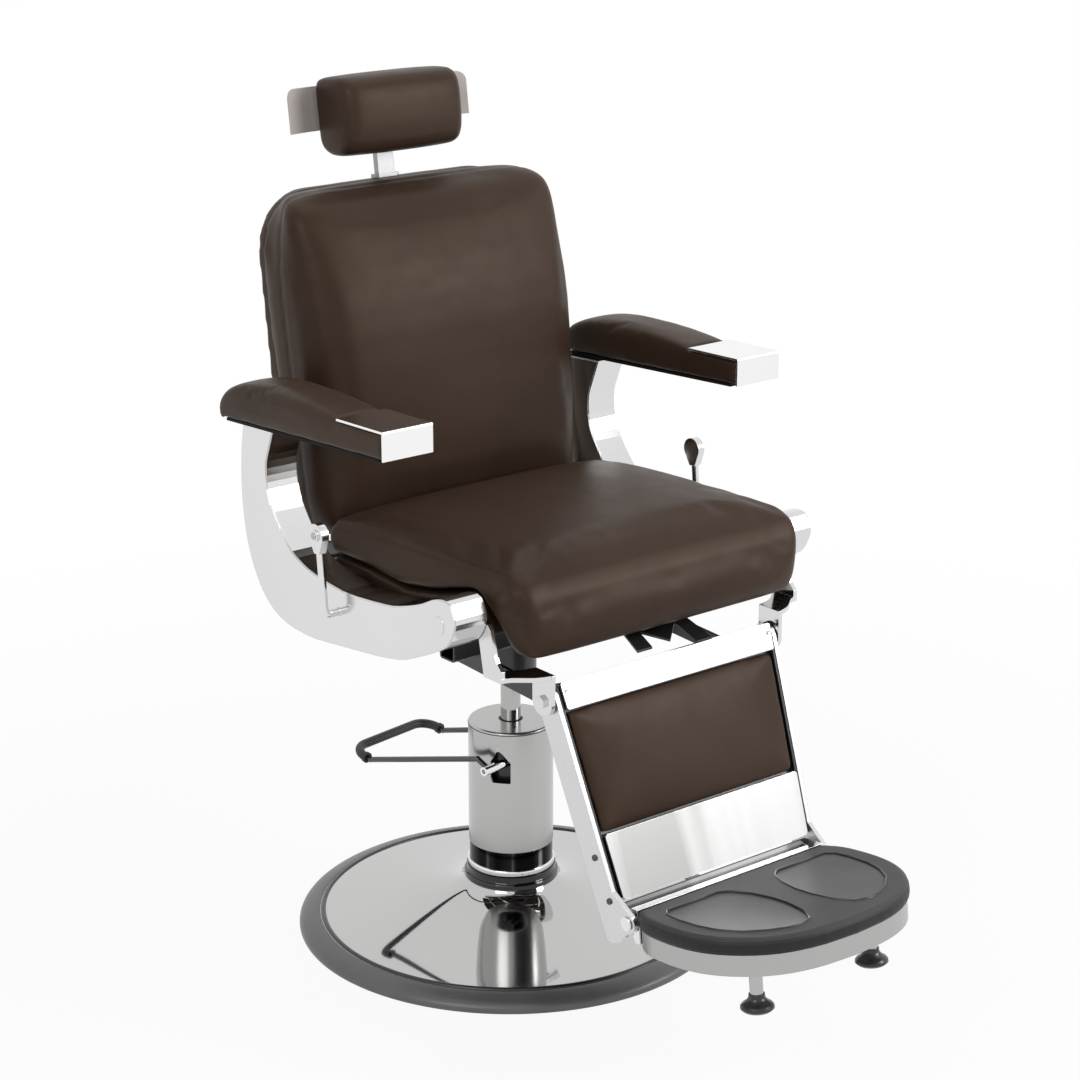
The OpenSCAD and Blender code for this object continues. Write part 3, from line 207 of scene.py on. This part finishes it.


# painted reflections: dark, mid and light metal tones streaked along one axis stand in for reflected streaks
def makePaintedReflection(name, look):
    mat, tree, shader, place = newMaterial(name, Metallic=1.0)
    paintedStreaks = addNoise(tree, place, look["scale"], 2.0, look["along"])
    tones = addRamp(tree, paintedStreaks, paintedReflectionLook["places"], (look["dark"], look["mid"], look["light"]))
    tree.links.new(tones, shader.inputs["Base Color"])
    fine = addNoise(tree, place, paintedReflectionLook["grain"])
    tree.links.new(addRange(tree, fine, *look["gloss"]), shader.inputs["Roughness"])
    addBump(tree, shader, fine, paintedReflectionLook["bump"], paintedReflectionLook["depth"], paintedReflectionLook["edge"])
    return mat


brownLeather = makeLeather("brownLeather", leatherLook)
# the same leather at 0.85 of its tone, for the seat base under the seat
darkenedLeatherCopy = makeLeather("darkenedLeatherCopy", leatherLook, 0.85)

mirrorChrome = makeMetal("mirrorChrome", (0.80, 0.805, 0.81), (0.025, 0.07), 900, 0.01)
domeChrome = makeMetal("domeChrome", (0.53, 0.53, 0.525), (0.035, 0.07), 900, 0.004, edge=0.0)
rodChrome = makeMetal("rodChrome", (0.44, 0.44, 0.435), (0.05, 0.10), 900, 0.01)
panelChrome = makeMetal("panelChrome", (0.72, 0.72, 0.72), (0.10, 0.18), 700, 0.015)
plateChrome = makeMetal("plateChrome", (0.90, 0.90, 0.905), (0.08, 0.16), 700, 0.015)
brushedSteel = makeMetal("brushedSteel", (0.47, 0.47, 0.465), (0.20, 0.32), 260, 0.05, (1, 1, 0.03))
postSteel = makeMetal("postSteel", (0.32, 0.32, 0.322), (0.36, 0.46), 260, 0.04)
brushedAlloy = makeMetal("brushedAlloy", (0.68, 0.68, 0.69), (0.24, 0.36), 320, 0.06, (1, 1, 0.04))
rimAlloy = makeMetal("rimAlloy", (0.44, 0.44, 0.435), (0.28, 0.40), 300, 0.05, (0.05, 1, 1))
darkSteel = makeMetal("darkSteel", (0.10, 0.10, 0.105), (0.12, 0.24), 400)
# the lower sleeve's near-black tone with light streaks is painted reflection
sleeveReflectionLook = dict(scale=34, along=(1, 1, 0.02), gloss=(0.04, 0.10), dark=(0.008, 0.008, 0.009),
                  mid=(0.03, 0.03, 0.03), light=(0.42, 0.42, 0.42))
sleevePaintedReflection = makePaintedReflection("sleevePaintedReflection", sleeveReflectionLook)
# the legrest skirt's light and dark bands are painted reflection
skirtReflectionLook = dict(scale=11, along=(1, 0.10, 0.10), gloss=(0.16, 0.26), dark=(0.52, 0.52, 0.515),
                 mid=(0.74, 0.74, 0.735), light=(0.80, 0.80, 0.80))
skirtPaintedReflection = makePaintedReflection("skirtPaintedReflection", skirtReflectionLook)

blackPaint = makePaint("blackPaint", (0.010, 0.010, 0.011), (0.022, 0.022, 0.024), (0.26, 0.40), 520, 0.10,
                       coat=0.2)
glossBlack = makePaint("glossBlack", (0.004, 0.004, 0.005), (0.009, 0.009, 0.010), (0.06, 0.12), 420, 0.02,
                       coat=0.5)
matteBlack = makePaint("matteBlack", (0.007, 0.0065, 0.006), (0.013, 0.012, 0.011), (0.55, 0.70), 700, 0.12,
                       edge=0.0, specular=0.12)
blackPlastic = makePaint("blackPlastic", (0.012, 0.012, 0.012), (0.020, 0.020, 0.020), (0.42, 0.58), 900, 0.2)
# the swept headrest plate is pale paint, brighter than its metal: painted reflection
wingPaintedReflection = makePaint("wingPaintedReflection", (0.55, 0.50, 0.47), (0.64, 0.58, 0.55), (0.24, 0.34), 400, 0.03)
# the ring's grey tone is lighter than its black rubber: partly its own colour, partly painted sheen for its
# highlights
ringRubberAndSheen = makePaint("ringRubberAndSheen", (0.100, 0.100, 0.100), (0.135, 0.135, 0.134), (0.28, 0.42), 650, 0.18,
                       edge=0.0015, specular=0.7)
gripRubber = makePaint("gripRubber", (0.014, 0.014, 0.014), (0.030, 0.030, 0.030), (0.40, 0.56), 900, 0.3)
# the tread's upright sides get painted shade
treadRubber = makePaint("treadRubber", (0.040, 0.040, 0.040), (0.058, 0.058, 0.057), (0.44, 0.58), 1100, 0.35,
                        edge=0.0015, specular=0.3, paintedSideShade=0.3)
# the recess inset is lighter than the tread: partly its own rubber, partly painted sheen of the glossy recess
insetRubberAndSheen = makePaint("insetRubberAndSheen", (0.050, 0.050, 0.050), (0.074, 0.073, 0.072), (0.34, 0.46), 1100, 0.25,
                        edge=0.0, specular=0.36)
footRubber = makePaint("footRubber", (0.006, 0.006, 0.006), (0.014, 0.014, 0.014), (0.22, 0.36), 800, 0.15,
                       edge=0.001, coat=0.2)
print("materials made")

finishes = {
    ringRubberAndSheen: ["base_ring"],
    gripRubber: ["pump_grip"],
    treadRubber: ["footrest_pad"],
    footRubber: ["footrest_foot_right", "footrest_foot_left"],
    sleevePaintedReflection: ["lower_sleeve"],
    rodChrome: ["piston_rod"],
    mirrorChrome: ["pump_axle", "recline_shaft", "footrest_hinge"],
    domeChrome: ["base_cover"],
    panelChrome: ["panel_right", "panel_left", "hanger_right", "hanger_left", "recline_lever_right",
                  "recline_lever_left"],
    postSteel: ["post_sleeve", "headrest_post"],
    plateChrome: ["arm_plate_right", "arm_plate_left", "legrest_band"],
    skirtPaintedReflection: ["legrest_skirt"],
    darkSteel: ["pump_loop"],
    wingPaintedReflection: ["headrest_plate"],
    brushedSteel: ["column_shroud", "back_shaft", "footrest_leg_right", "footrest_leg_left"],
    brushedAlloy: ["legrest_rail_right", "legrest_rail_left"],
    rimAlloy: ["footrest_tray"],
    glossBlack: ["pump_collar"],
    blackPaint: ["base_plate", "pump_body", "swivel_hub", "seat_rail_right", "seat_rail_left",
                 "front_crossbar", "rear_crossbar", "front_stay", "back_frame", "legrest_backing",
                 "link_right", "link_left"],
    blackPlastic: ["rod_gland"],
    matteBlack: ["arm_base_right", "arm_base_left"],
    brownLeather: ["seat_cushion", "back_cushion", "headrest_cushion", "arm_pad_right", "arm_pad_left",
                   "legrest_pad"],
    darkenedLeatherCopy: ["seat_base", "back_shell"],
}
for material, names in finishes.items():
    for name in names:
        mesh = nodes[name].data
        mesh.materials.clear()
        mesh.materials.append(material)
print("finishes set on the frame")


def meshOf(bm, name):
    mesh = bpy.data.meshes.new(name)
    bm.to_mesh(mesh)
    bm.free()
    return mesh


def smoothed(mesh, rounds):
    bm = bmesh.new()
    bm.from_mesh(mesh)
    for _ in range(rounds):
        bmesh.ops.smooth_vert(bm, verts=bm.verts, factor=0.5,
                              use_axis_x=True, use_axis_y=True, use_axis_z=True)
    bm.to_mesh(mesh)
    bm.free()
    mesh.update()


def freshVerts(made):
    return [g for g in made["geom"] if isinstance(g, bmesh.types.BMVert)]


def evaluatedMesh(obj):
    graph = bpy.context.evaluated_depsgraph_get()
    return bpy.data.meshes.new_from_object(obj.evaluated_get(graph))


def addHelper(name, data):
    helper = bpy.data.objects.new(name, data)
    scene.collection.objects.link(helper)
    return helper


def subdivide(piece, levels):
    sub = piece.modifiers.new("soft", "SUBSURF")
    sub.levels = sub.render_levels = levels


def addPiece(name, mesh, material, body, slot, *stands):
    piece = bpy.data.objects.new(name, mesh)
    scene.collection.objects.link(piece)
    mesh.materials.clear()
    mesh.materials.append(material)
    for face in mesh.polygons:
        face.use_smooth = True
    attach(piece, body)
    if stands:
        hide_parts(*stands)
    return piece


def addBoard(bm, look):  # a flat board in the back's frame, with two round top corners
    corner, half, steps = look["corner"], look["half"], look["steps"]
    line = [(-half, look["low"]), (half, look["low"])]
    for side, first in ((1, 0), (-1, steps)):
        for turn in range(first, first + steps + 1):
            angle = math.pi / 2 * turn / steps
            x = side * (half - corner) + corner * math.cos(angle)
            line.append((x, look["high"] - corner + corner * math.sin(angle)))
    face = bm.faces.new([bm.verts.new(backFrame @ Vector((x, look["front"], z))) for x, z in line])
    made = bmesh.ops.extrude_face_region(bm, geom=[face])
    bmesh.ops.translate(bm, verts=freshVerts(made), vec=backOut * (look["rear"] - look["front"]))


def remeshed(node, look):
    bm = bmesh.new()
    bm.from_mesh(nodes[node].data)
    bmesh.ops.remove_doubles(bm, verts=bm.verts, dist=1e-5)
    bmesh.ops.recalc_face_normals(bm, faces=bm.faces)
    bm.normal_update()
    moves = [v.normal * look["shrink"] for v in bm.verts]
    reach = look.get("reach")
    if reach:  # pushes the faces that look one way further that way
        facing = [f for f in bm.faces if f.normal.dot(reach.normalized()) > 0.9]
        for v in {v for f in facing for v in f.verts}:
            v.co += reach
    for v, move in zip(bm.verts, moves):
        v.co -= move
    if "board" in look:
        addBoard(bm, look["board"])
        bmesh.ops.recalc_face_normals(bm, faces=bm.faces)
    helper = addHelper(node + "Helper", meshOf(bm, node + "Start"))
    mod = helper.modifiers.new("remesh", "REMESH")
    mod.mode = "VOXEL"
    mod.voxel_size = look["voxel"]
    out = evaluatedMesh(helper)
    bpy.data.objects.remove(helper)
    smoothed(out, look["rounds"])
    return out


clothLook = dict(stretch=22, bending=2.0, quality=4, frames=20)


def swollen(mesh, held, pressure, cap):
    helper = addHelper("swellHelper", mesh)
    group = helper.vertex_groups.new(name="held")
    group.add([v.index for v in mesh.vertices if held(v.co, v.normal)], 1.0, "REPLACE")
    mod = helper.modifiers.new("cloth", "CLOTH")
    settings = mod.settings
    settings.use_pressure = True
    settings.uniform_pressure_force = pressure
    settings.effector_weights.gravity = 0
    settings.vertex_group_mass = "held"
    settings.tension_stiffness = settings.compression_stiffness = clothLook["stretch"]
    settings.bending_stiffness = clothLook["bending"]
    settings.quality = clothLook["quality"]
    mod.collision_settings.use_collision = False
    start = [v.co.copy() for v in mesh.vertices]
    for step in range(1, clothLook["frames"] + 1):
        scene.frame_set(step)
    out = evaluatedMesh(helper)
    bpy.data.objects.remove(helper)
    scene.frame_set(1)
    for v, first in zip(out.vertices, start):
        move = v.co - first
        if move.length > cap:
            v.co = first + move * (cap / move.length)
    return out


def pressSeam(mesh, at, normal, width, depth, where):
    normal = Vector(normal).normalized()
    for v in mesh.vertices:
        away = (v.co - Vector(at)).dot(normal)
        if abs(away) < 3 * width and where(v.co, v.normal):
            v.co -= v.normal * depth * math.exp(-(away / width) ** 2)
    mesh.update()


def coverPiece(name, node, look, mesh=None, material=brownLeather):
    mesh = mesh or remeshed(node, look)
    low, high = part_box(node)
    for v in mesh.vertices:
        v.co = [min(max(c, a - m), b + m) for c, a, b, m in zip(v.co, low, high, look["allow"])]
    smoothed(mesh, look.get("settle", 1))
    for seam in look.get("seams", ()):
        pressSeam(mesh, **seam)
    piece = addPiece(name, mesh, material, bodyOf[node], "leather", node)
    subdivide(piece, 1)
    print(name, "made,", len(mesh.polygons), "faces")
    return piece


def cushionPiece(name, node, look, held):
    mesh = remeshed(node, look)
    mesh = swollen(mesh, held, look["pressure"], look["cap"])
    coverPiece(name, node, look, mesh)


seatSeams = [dict(at=(side * 0.2315, 0, 0), normal=(1, 0, 0), width=0.0028, depth=0.0016,
                  where=lambda p, n: n.z > 0.1 or n.y < -0.3) for word, side in sides]
seatLook = dict(voxel=0.005, shrink=0.002, rounds=3, pressure=3.0, cap=0.006, settle=6, seams=seatSeams,
                allow=(0.0008, 0.004, 0.004))
cushionPiece("seatCushion", "seat_cushion", seatLook, lambda p, n: n.z < -0.5 or p.y > 0.07)

bandSeam = dict(at=backFrame @ Vector((0, 0.030, 0.3)), normal=backOut, width=0.003, depth=0.0014,
                where=lambda p, n: abs(n.dot(backOut)) < 0.6)
backLook = dict(voxel=0.005, shrink=0.0015, rounds=2, pressure=1.6, cap=0.0035, settle=6, seams=[bandSeam],
                reach=backOut * 0.006, allow=(0.003, 0.003, 0.003))
cushionPiece("backCushion", "back_cushion", backLook, lambda p, n: n.dot(backOut) > 0.5)

headLook = dict(voxel=0.0035, shrink=0.0015, rounds=3, pressure=3.0, cap=0.003, settle=2,
                allow=(0.002, 0.001, 0.002))
cushionPiece("headCushion", "headrest_cushion", headLook,
             lambda p, n: n.dot(backOut) > 0.3 or abs(p.x) < 0.026 and p.y > 0.245)

armLook = dict(voxel=0.0035, shrink=0.0008, rounds=2, pressure=4.0, cap=0.0025, allow=(0.001, 0.001, 0.002))
for word, side in sides:
    cushionPiece("armPad" + word, "arm_pad_" + word.lower(), armLook, lambda p, n: n.z < -0.4 or p.y < -0.06)

calfLook = dict(voxel=0.004, shrink=0.001, rounds=2, pressure=0.7, cap=0.003, settle=6,
                allow=(0.0003, 0.003, 0.0003))
cushionPiece("calfPad", "legrest_pad", calfLook, lambda p, n: n.dot(legOut) > 0.4)

baseLook = dict(voxel=0.0045, shrink=-0.0008, rounds=2, allow=(0, 0, 0))
coverPiece("seatBaseCover", "seat_base", baseLook, material=darkenedLeatherCopy)

boardLook = dict(half=0.2158, low=0.032, high=0.4948, corner=0.080, front=0.068, rear=0.0918, steps=16)
shellLook = dict(voxel=0.0048, shrink=-0.0008, rounds=2, reach=backOut * -0.005, board=boardLook,
                 allow=(0, 0, 0))
coverPiece("backCover", "back_shell", shellLook)
print("soft pieces made")


def boltMesh(at, axis, look):
    radius, height = look["radius"], look["height"]
    bm = bmesh.new()
    bmesh.ops.create_circle(bm, cap_ends=True, segments=32, radius=radius)
    made = bmesh.ops.extrude_face_region(bm, geom=bm.faces[:])
    bmesh.ops.translate(bm, verts=freshVerts(made), vec=(0, 0, height))
    top = [e for e in bm.edges if all(abs(v.co.z - height) < 1e-7 for v in e.verts)]
    bmesh.ops.bevel(bm, geom=top, offset=radius * 0.32, affect="EDGES", segments=4, profile=0.5, material=-1)
    face = max(bm.faces, key=lambda f: f.calc_center_median().z)
    bmesh.ops.inset_region(bm, faces=[face], thickness=radius * 0.30)  # the socket in the head
    bmesh.ops.translate(bm, verts=face.verts, vec=(0, 0, -height * look["socket"]))
    bmesh.ops.recalc_face_normals(bm, faces=bm.faces)
    turn = Vector((0, 0, 1)).rotation_difference(Vector(axis)).to_matrix().to_4x4()
    bmesh.ops.transform(bm, matrix=Matrix.Translation(Vector(at)) @ turn, verts=bm.verts)
    return meshOf(bm, "bolt")


railBolt = dict(radius=0.0042, height=0.0022, socket=0.5, places=((-0.004, -0.205), (-0.008, -0.262)),
                topHalf=0.188, taper=0.020 / 0.317, lift=0.0002)
bandScrew = dict(radius=0.0028, height=0.0014, socket=0.4, place=(-0.172, -0.0222, 0.006))
leverScrew = dict(radius=0.0048, height=0.0018, socket=0.6, place=(-0.014, 0.636))
for word, side in sides:
    for i, (y, z) in enumerate(railBolt["places"]):
        outer = railBolt["topHalf"] + railBolt["taper"] * z + railBolt["lift"]
        spot = legFrame @ Vector((outer * side, y, z))
        addPiece("railBolt%s%d" % (word, i + 1), boltMesh(spot, (side, 0, 0), railBolt), darkSteel, "legrest",
                 "satin")
    x, y, z = bandScrew["place"]
    spot = legFrame @ Vector((-x * side, y, z))
    addPiece("bandScrew" + word, boltMesh(spot, -legOut, bandScrew), brushedSteel, "legrest", "satin")
    low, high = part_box("recline_lever_" + word.lower())
    spot = (high.x if side > 0 else low.x, *leverScrew["place"])
    addPiece("leverScrew" + word, boltMesh(spot, (side, 0, 0), leverScrew), brushedSteel, "recline_levers",
             "satin")
print("fasteners made")


def tubeMesh(points, radius):  # a closed loop of round bead
    curve = bpy.data.curves.new("tube", "CURVE")
    curve.dimensions = "3D"
    curve.bevel_depth = radius
    curve.bevel_resolution = 4
    spline = curve.splines.new("POLY")
    spline.points.add(len(points) - 1)
    for p, q in zip(spline.points, points):
        p.co = (*q, 1)
    spline.use_cyclic_u = True
    helper = addHelper("tubeHelper", curve)
    mesh = evaluatedMesh(helper)
    bpy.data.objects.remove(helper)
    return mesh


def ringPoints(look):
    radius, steps = look["radius"], look["steps"]
    angles = [2 * math.pi * i / steps for i in range(steps)]
    return [Vector((radius * math.cos(a), radius * math.sin(a), look["height"])) for a in angles]


def spunMesh(name, profile, steps):  # a closed profile of radius and height in millimetres, spun about Z
    bm = bmesh.new()
    line = [bm.verts.new((r / 1000, 0, z / 1000)) for r, z in profile]
    edges = [bm.edges.new((a, b)) for a, b in zip(line, line[1:] + line[:1])]
    bmesh.ops.spin(bm, geom=line + edges, cent=(0, 0, 0), axis=(0, 0, 1), angle=2 * math.pi, steps=steps,
                   use_merge=True)
    bmesh.ops.remove_doubles(bm, verts=bm.verts, dist=1e-6)
    bmesh.ops.recalc_face_normals(bm, faces=bm.faces)
    return meshOf(bm, name)


ringLook = dict(steps=128, profile=[(284, 0), (299.5, 0), (300, 2), (300, 7), (297.5, 11.2), (292.5, 14.8),
                                    (285, 17.8), (276.5, 20), (271.5, 20.6), (270, 19.8), (270, 18),
                                    (284, 12.5)])
floorRing = spunMesh("floorRing", ringLook["profile"], ringLook["steps"])
subdivide(addPiece("floorRing", floorRing, ringRubberAndSheen, "base", "rubber", "base_ring"), 1)

gapShadeLook = dict(radius=0.2660, height=0.0190, bead=0.0040, steps=128)
# a black bead in the gap between dome and ring: painted shade of that gap
addPiece("domeGapShade", tubeMesh(ringPoints(gapShadeLook), gapShadeLook["bead"]), footRubber, "base", "rubber")

domeLook = dict(steps=128, sheet=2.5, inset=0.9, seat=11.9, last=(284.6, 12.0),
                top=[(288, 11.9), (287.2, 13.4), (284.5, 16.2), (278, 18.6), (270, 20.1), (250, 22.7),
                     (230, 25.1), (205, 28.2), (180, 31.7), (155, 35.6), (130, 40.2), (112, 44.2), (95, 49.2),
                     (84, 53.4), (75, 58.2), (69, 63.0), (65.4, 68.0), (64.6, 69.1)])
under = [(r - domeLook["inset"], max(z - domeLook["sheet"], domeLook["seat"]))
         for r, z in reversed(domeLook["top"][3:])]
domeCover = spunMesh("domeCover", domeLook["top"] + under + [domeLook["last"]], domeLook["steps"])
subdivide(addPiece("domeCover", domeCover, domeChrome, "base", "chrome", "base_cover"), 2)

lipLook = dict(steps=96, profile=[(57.8, 87.0), (60.6, 87.0), (61.3, 87.7), (61.3, 94.6), (60.9, 95.6),
                                  (59.8, 96.4), (57.8, 96.6)])
addPiece("footLip", spunMesh("footLip", lipLook["profile"], lipLook["steps"]), mirrorChrome, "base", "chrome")

lidLook = dict(radius=0.0592, height=0.2977, bead=0.0006, steps=96)
# a thin black ring under the lid's rim: painted shade line of the seam
addPiece("lidShadowLine", tubeMesh(ringPoints(lidLook), lidLook["bead"]), blackPlastic, "base", "black_plastic")
print("base trim made")

treadLook = dict(bead=0.0017, sunk=0.0004, floor=0.0016, inset=0.0009, rim=0.004, inward=0.9,
                 middle=(-90, -556),
                 outline=[(-50, -481), (-37, -492), (-25, -518), (-19, -548), (-19, -578), (-25, -611),
                          (-38, -635), (-58, -642), (-78, -638), (-102, -625), (-125, -605), (-140, -579),
                          (-147, -551), (-149, -520), (-146, -492), (-136, -481)])


def treadLoop(side):  # the line of one shoe recess, on top of the tread
    loop = []
    for point in treadLook["outline"]:
        inward = (Vector(treadLook["middle"]) - Vector(point)).normalized() * treadLook["inward"]
        x, y = (Vector(point) + inward) / 1000
        loop.append(footFrame @ Vector((-x * side, y, footEdge.z - treadLook["sunk"])))
    return loop


def insetMesh(name, loop):
    up = footTurn.to_3x3() @ Vector((0, 0, 1))
    bm = bmesh.new()
    sunk = up * (treadLook["sunk"] - treadLook["floor"])
    face = bm.faces.new([bm.verts.new(p + sunk) for p in loop])
    made = bmesh.ops.extrude_face_region(bm, geom=[face])
    bmesh.ops.translate(bm, verts=freshVerts(made), vec=up * treadLook["inset"])
    bmesh.ops.recalc_face_normals(bm, faces=bm.faces)
    crown = max(bm.faces, key=lambda f: f.normal.z)
    bmesh.ops.inset_region(bm, faces=[crown], thickness=treadLook["rim"], depth=0.0)
    bmesh.ops.translate(bm, verts=crown.verts, vec=up * treadLook["inset"] * -0.5)
    return meshOf(bm, name)


for word, side in sides:
    loop = treadLoop(side)
    # a near-black bead along each recess edge: painted shade of the groove
    addPiece("treadGrooveShade" + word, tubeMesh(loop, treadLook["bead"]), footRubber, "footrest", "rubber")
    addPiece("treadInset" + word, insetMesh("treadInset" + word, loop), insetRubberAndSheen, "footrest", "rubber")
print("tread trim made")


def addShader(tree, kind, colour, strength):
    shader = tree.nodes.new(kind)
    shader.inputs["Color"].default_value = (*colour, 1)
    shader.inputs["Strength"].default_value = strength
    return shader.outputs[0]


def mixShaders(tree, amount, first, second, target):
    mixed = tree.nodes.new("ShaderNodeMixShader")
    tree.links.new(amount, mixed.inputs["Fac"])
    tree.links.new(first, mixed.inputs[1])
    tree.links.new(second, mixed.inputs[2])
    tree.links.new(mixed.outputs[0], tree.nodes[target].inputs["Surface"])


def seenRays(tree):  # 1 for the camera's own rays and for mirror reflections
    path = tree.nodes.new("ShaderNodeLightPath")
    return path, addMath(tree, "MAXIMUM", path.outputs["Is Camera Ray"], path.outputs["Is Glossy Ray"])


worldLook = dict(tint=(0.96, 0.98, 1.0, 1), strength=0.40, white=1.0)
world = bpy.data.worlds.new("studio")
scene.world = world
world.use_nodes = True
tree = world.node_tree
plain = tree.nodes["Background"]
plain.inputs["Color"].default_value = worldLook["tint"]
plain.inputs["Strength"].default_value = worldLook["strength"]
white = addShader(tree, "ShaderNodeBackground", (1, 1, 1), worldLook["white"])
path, direct = seenRays(tree)
shown = addMath(tree, "MAXIMUM", direct, path.outputs["Is Transmission Ray"])
mixShaders(tree, shown, plain.outputs[0], white, "World Output")

floorLook = dict(half=60, colour=(0.80, 0.80, 0.80), rough=0.9, near=0.92, far=1.0, fade=(0.75, 1.9))
bm = bmesh.new()
bmesh.ops.create_grid(bm, x_segments=8, y_segments=8, size=floorLook["half"])
floor = bpy.data.objects.new("floor", meshOf(bm, "floor"))
scene.collection.objects.link(floor)
mat, tree, shader, place = newMaterial("paleFloor", Roughness=floorLook["rough"])
shader.inputs["Base Color"].default_value = (*floorLook["colour"], 1)
glow = addShader(tree, "ShaderNodeEmission", (1, 1, 1), 1.0)
away = tree.nodes.new("ShaderNodeVectorMath")
away.operation = "LENGTH"
tree.links.new(place, away.inputs[0])
fade = addRange(tree, away.outputs["Value"], floorLook["near"], floorLook["far"], *floorLook["fade"])
lifted = addMath(tree, "MULTIPLY", seenRays(tree)[1], fade)  # plain white away from the object
mixShaders(tree, lifted, shader.outputs[0], glow, "Material Output")
floor.data.materials.append(mat)

lamps = {"keyLamp": dict(at=(1.75, -2.5, 1.95), target=(0, 0, 0.8), size=1.5, power=54),
         "sideLamp": dict(at=(-2.8, -1.2, 2.4), target=(0, 0, 0.7), size=1.6, power=24),
         "topLamp": dict(at=(0.2, 0.4, 3.2), target=(0, 0, 0.5), size=1.8, power=9),
         "backLamp": dict(at=(1.6, 2.4, 2.2), target=(0, 0, 0.9), size=1.9, power=16)}
for name, look in lamps.items():
    data = bpy.data.lights.new(name, "AREA")
    data.size = look["size"]
    data.energy = look["power"]
    lamp = bpy.data.objects.new(name, data)
    lamp.location = look["at"]
    lamp.rotation_euler = (Vector(look["target"]) - Vector(look["at"])).to_track_quat("-Z", "Y").to_euler()
    lamp.visible_glossy = name != "backLamp"  # keeps its square out of the dome
    scene.collection.objects.link(lamp)

cameraLook = dict(lens=90.194, sensor=36, at=(-2.1698, -2.7477, 1.6835), tilt=72.222, turn=-38.9635)
cameraData = bpy.data.cameras.new("camera")
cameraData.lens = cameraLook["lens"]
cameraData.sensor_width = cameraLook["sensor"]
camera = bpy.data.objects.new("camera", cameraData)
camera.location = cameraLook["at"]
camera.rotation_euler = (math.radians(cameraLook["tilt"]), 0, math.radians(cameraLook["turn"]))
scene.collection.objects.link(camera)
scene.camera = camera
scene.view_settings.view_transform = "Standard"
print("stage set")
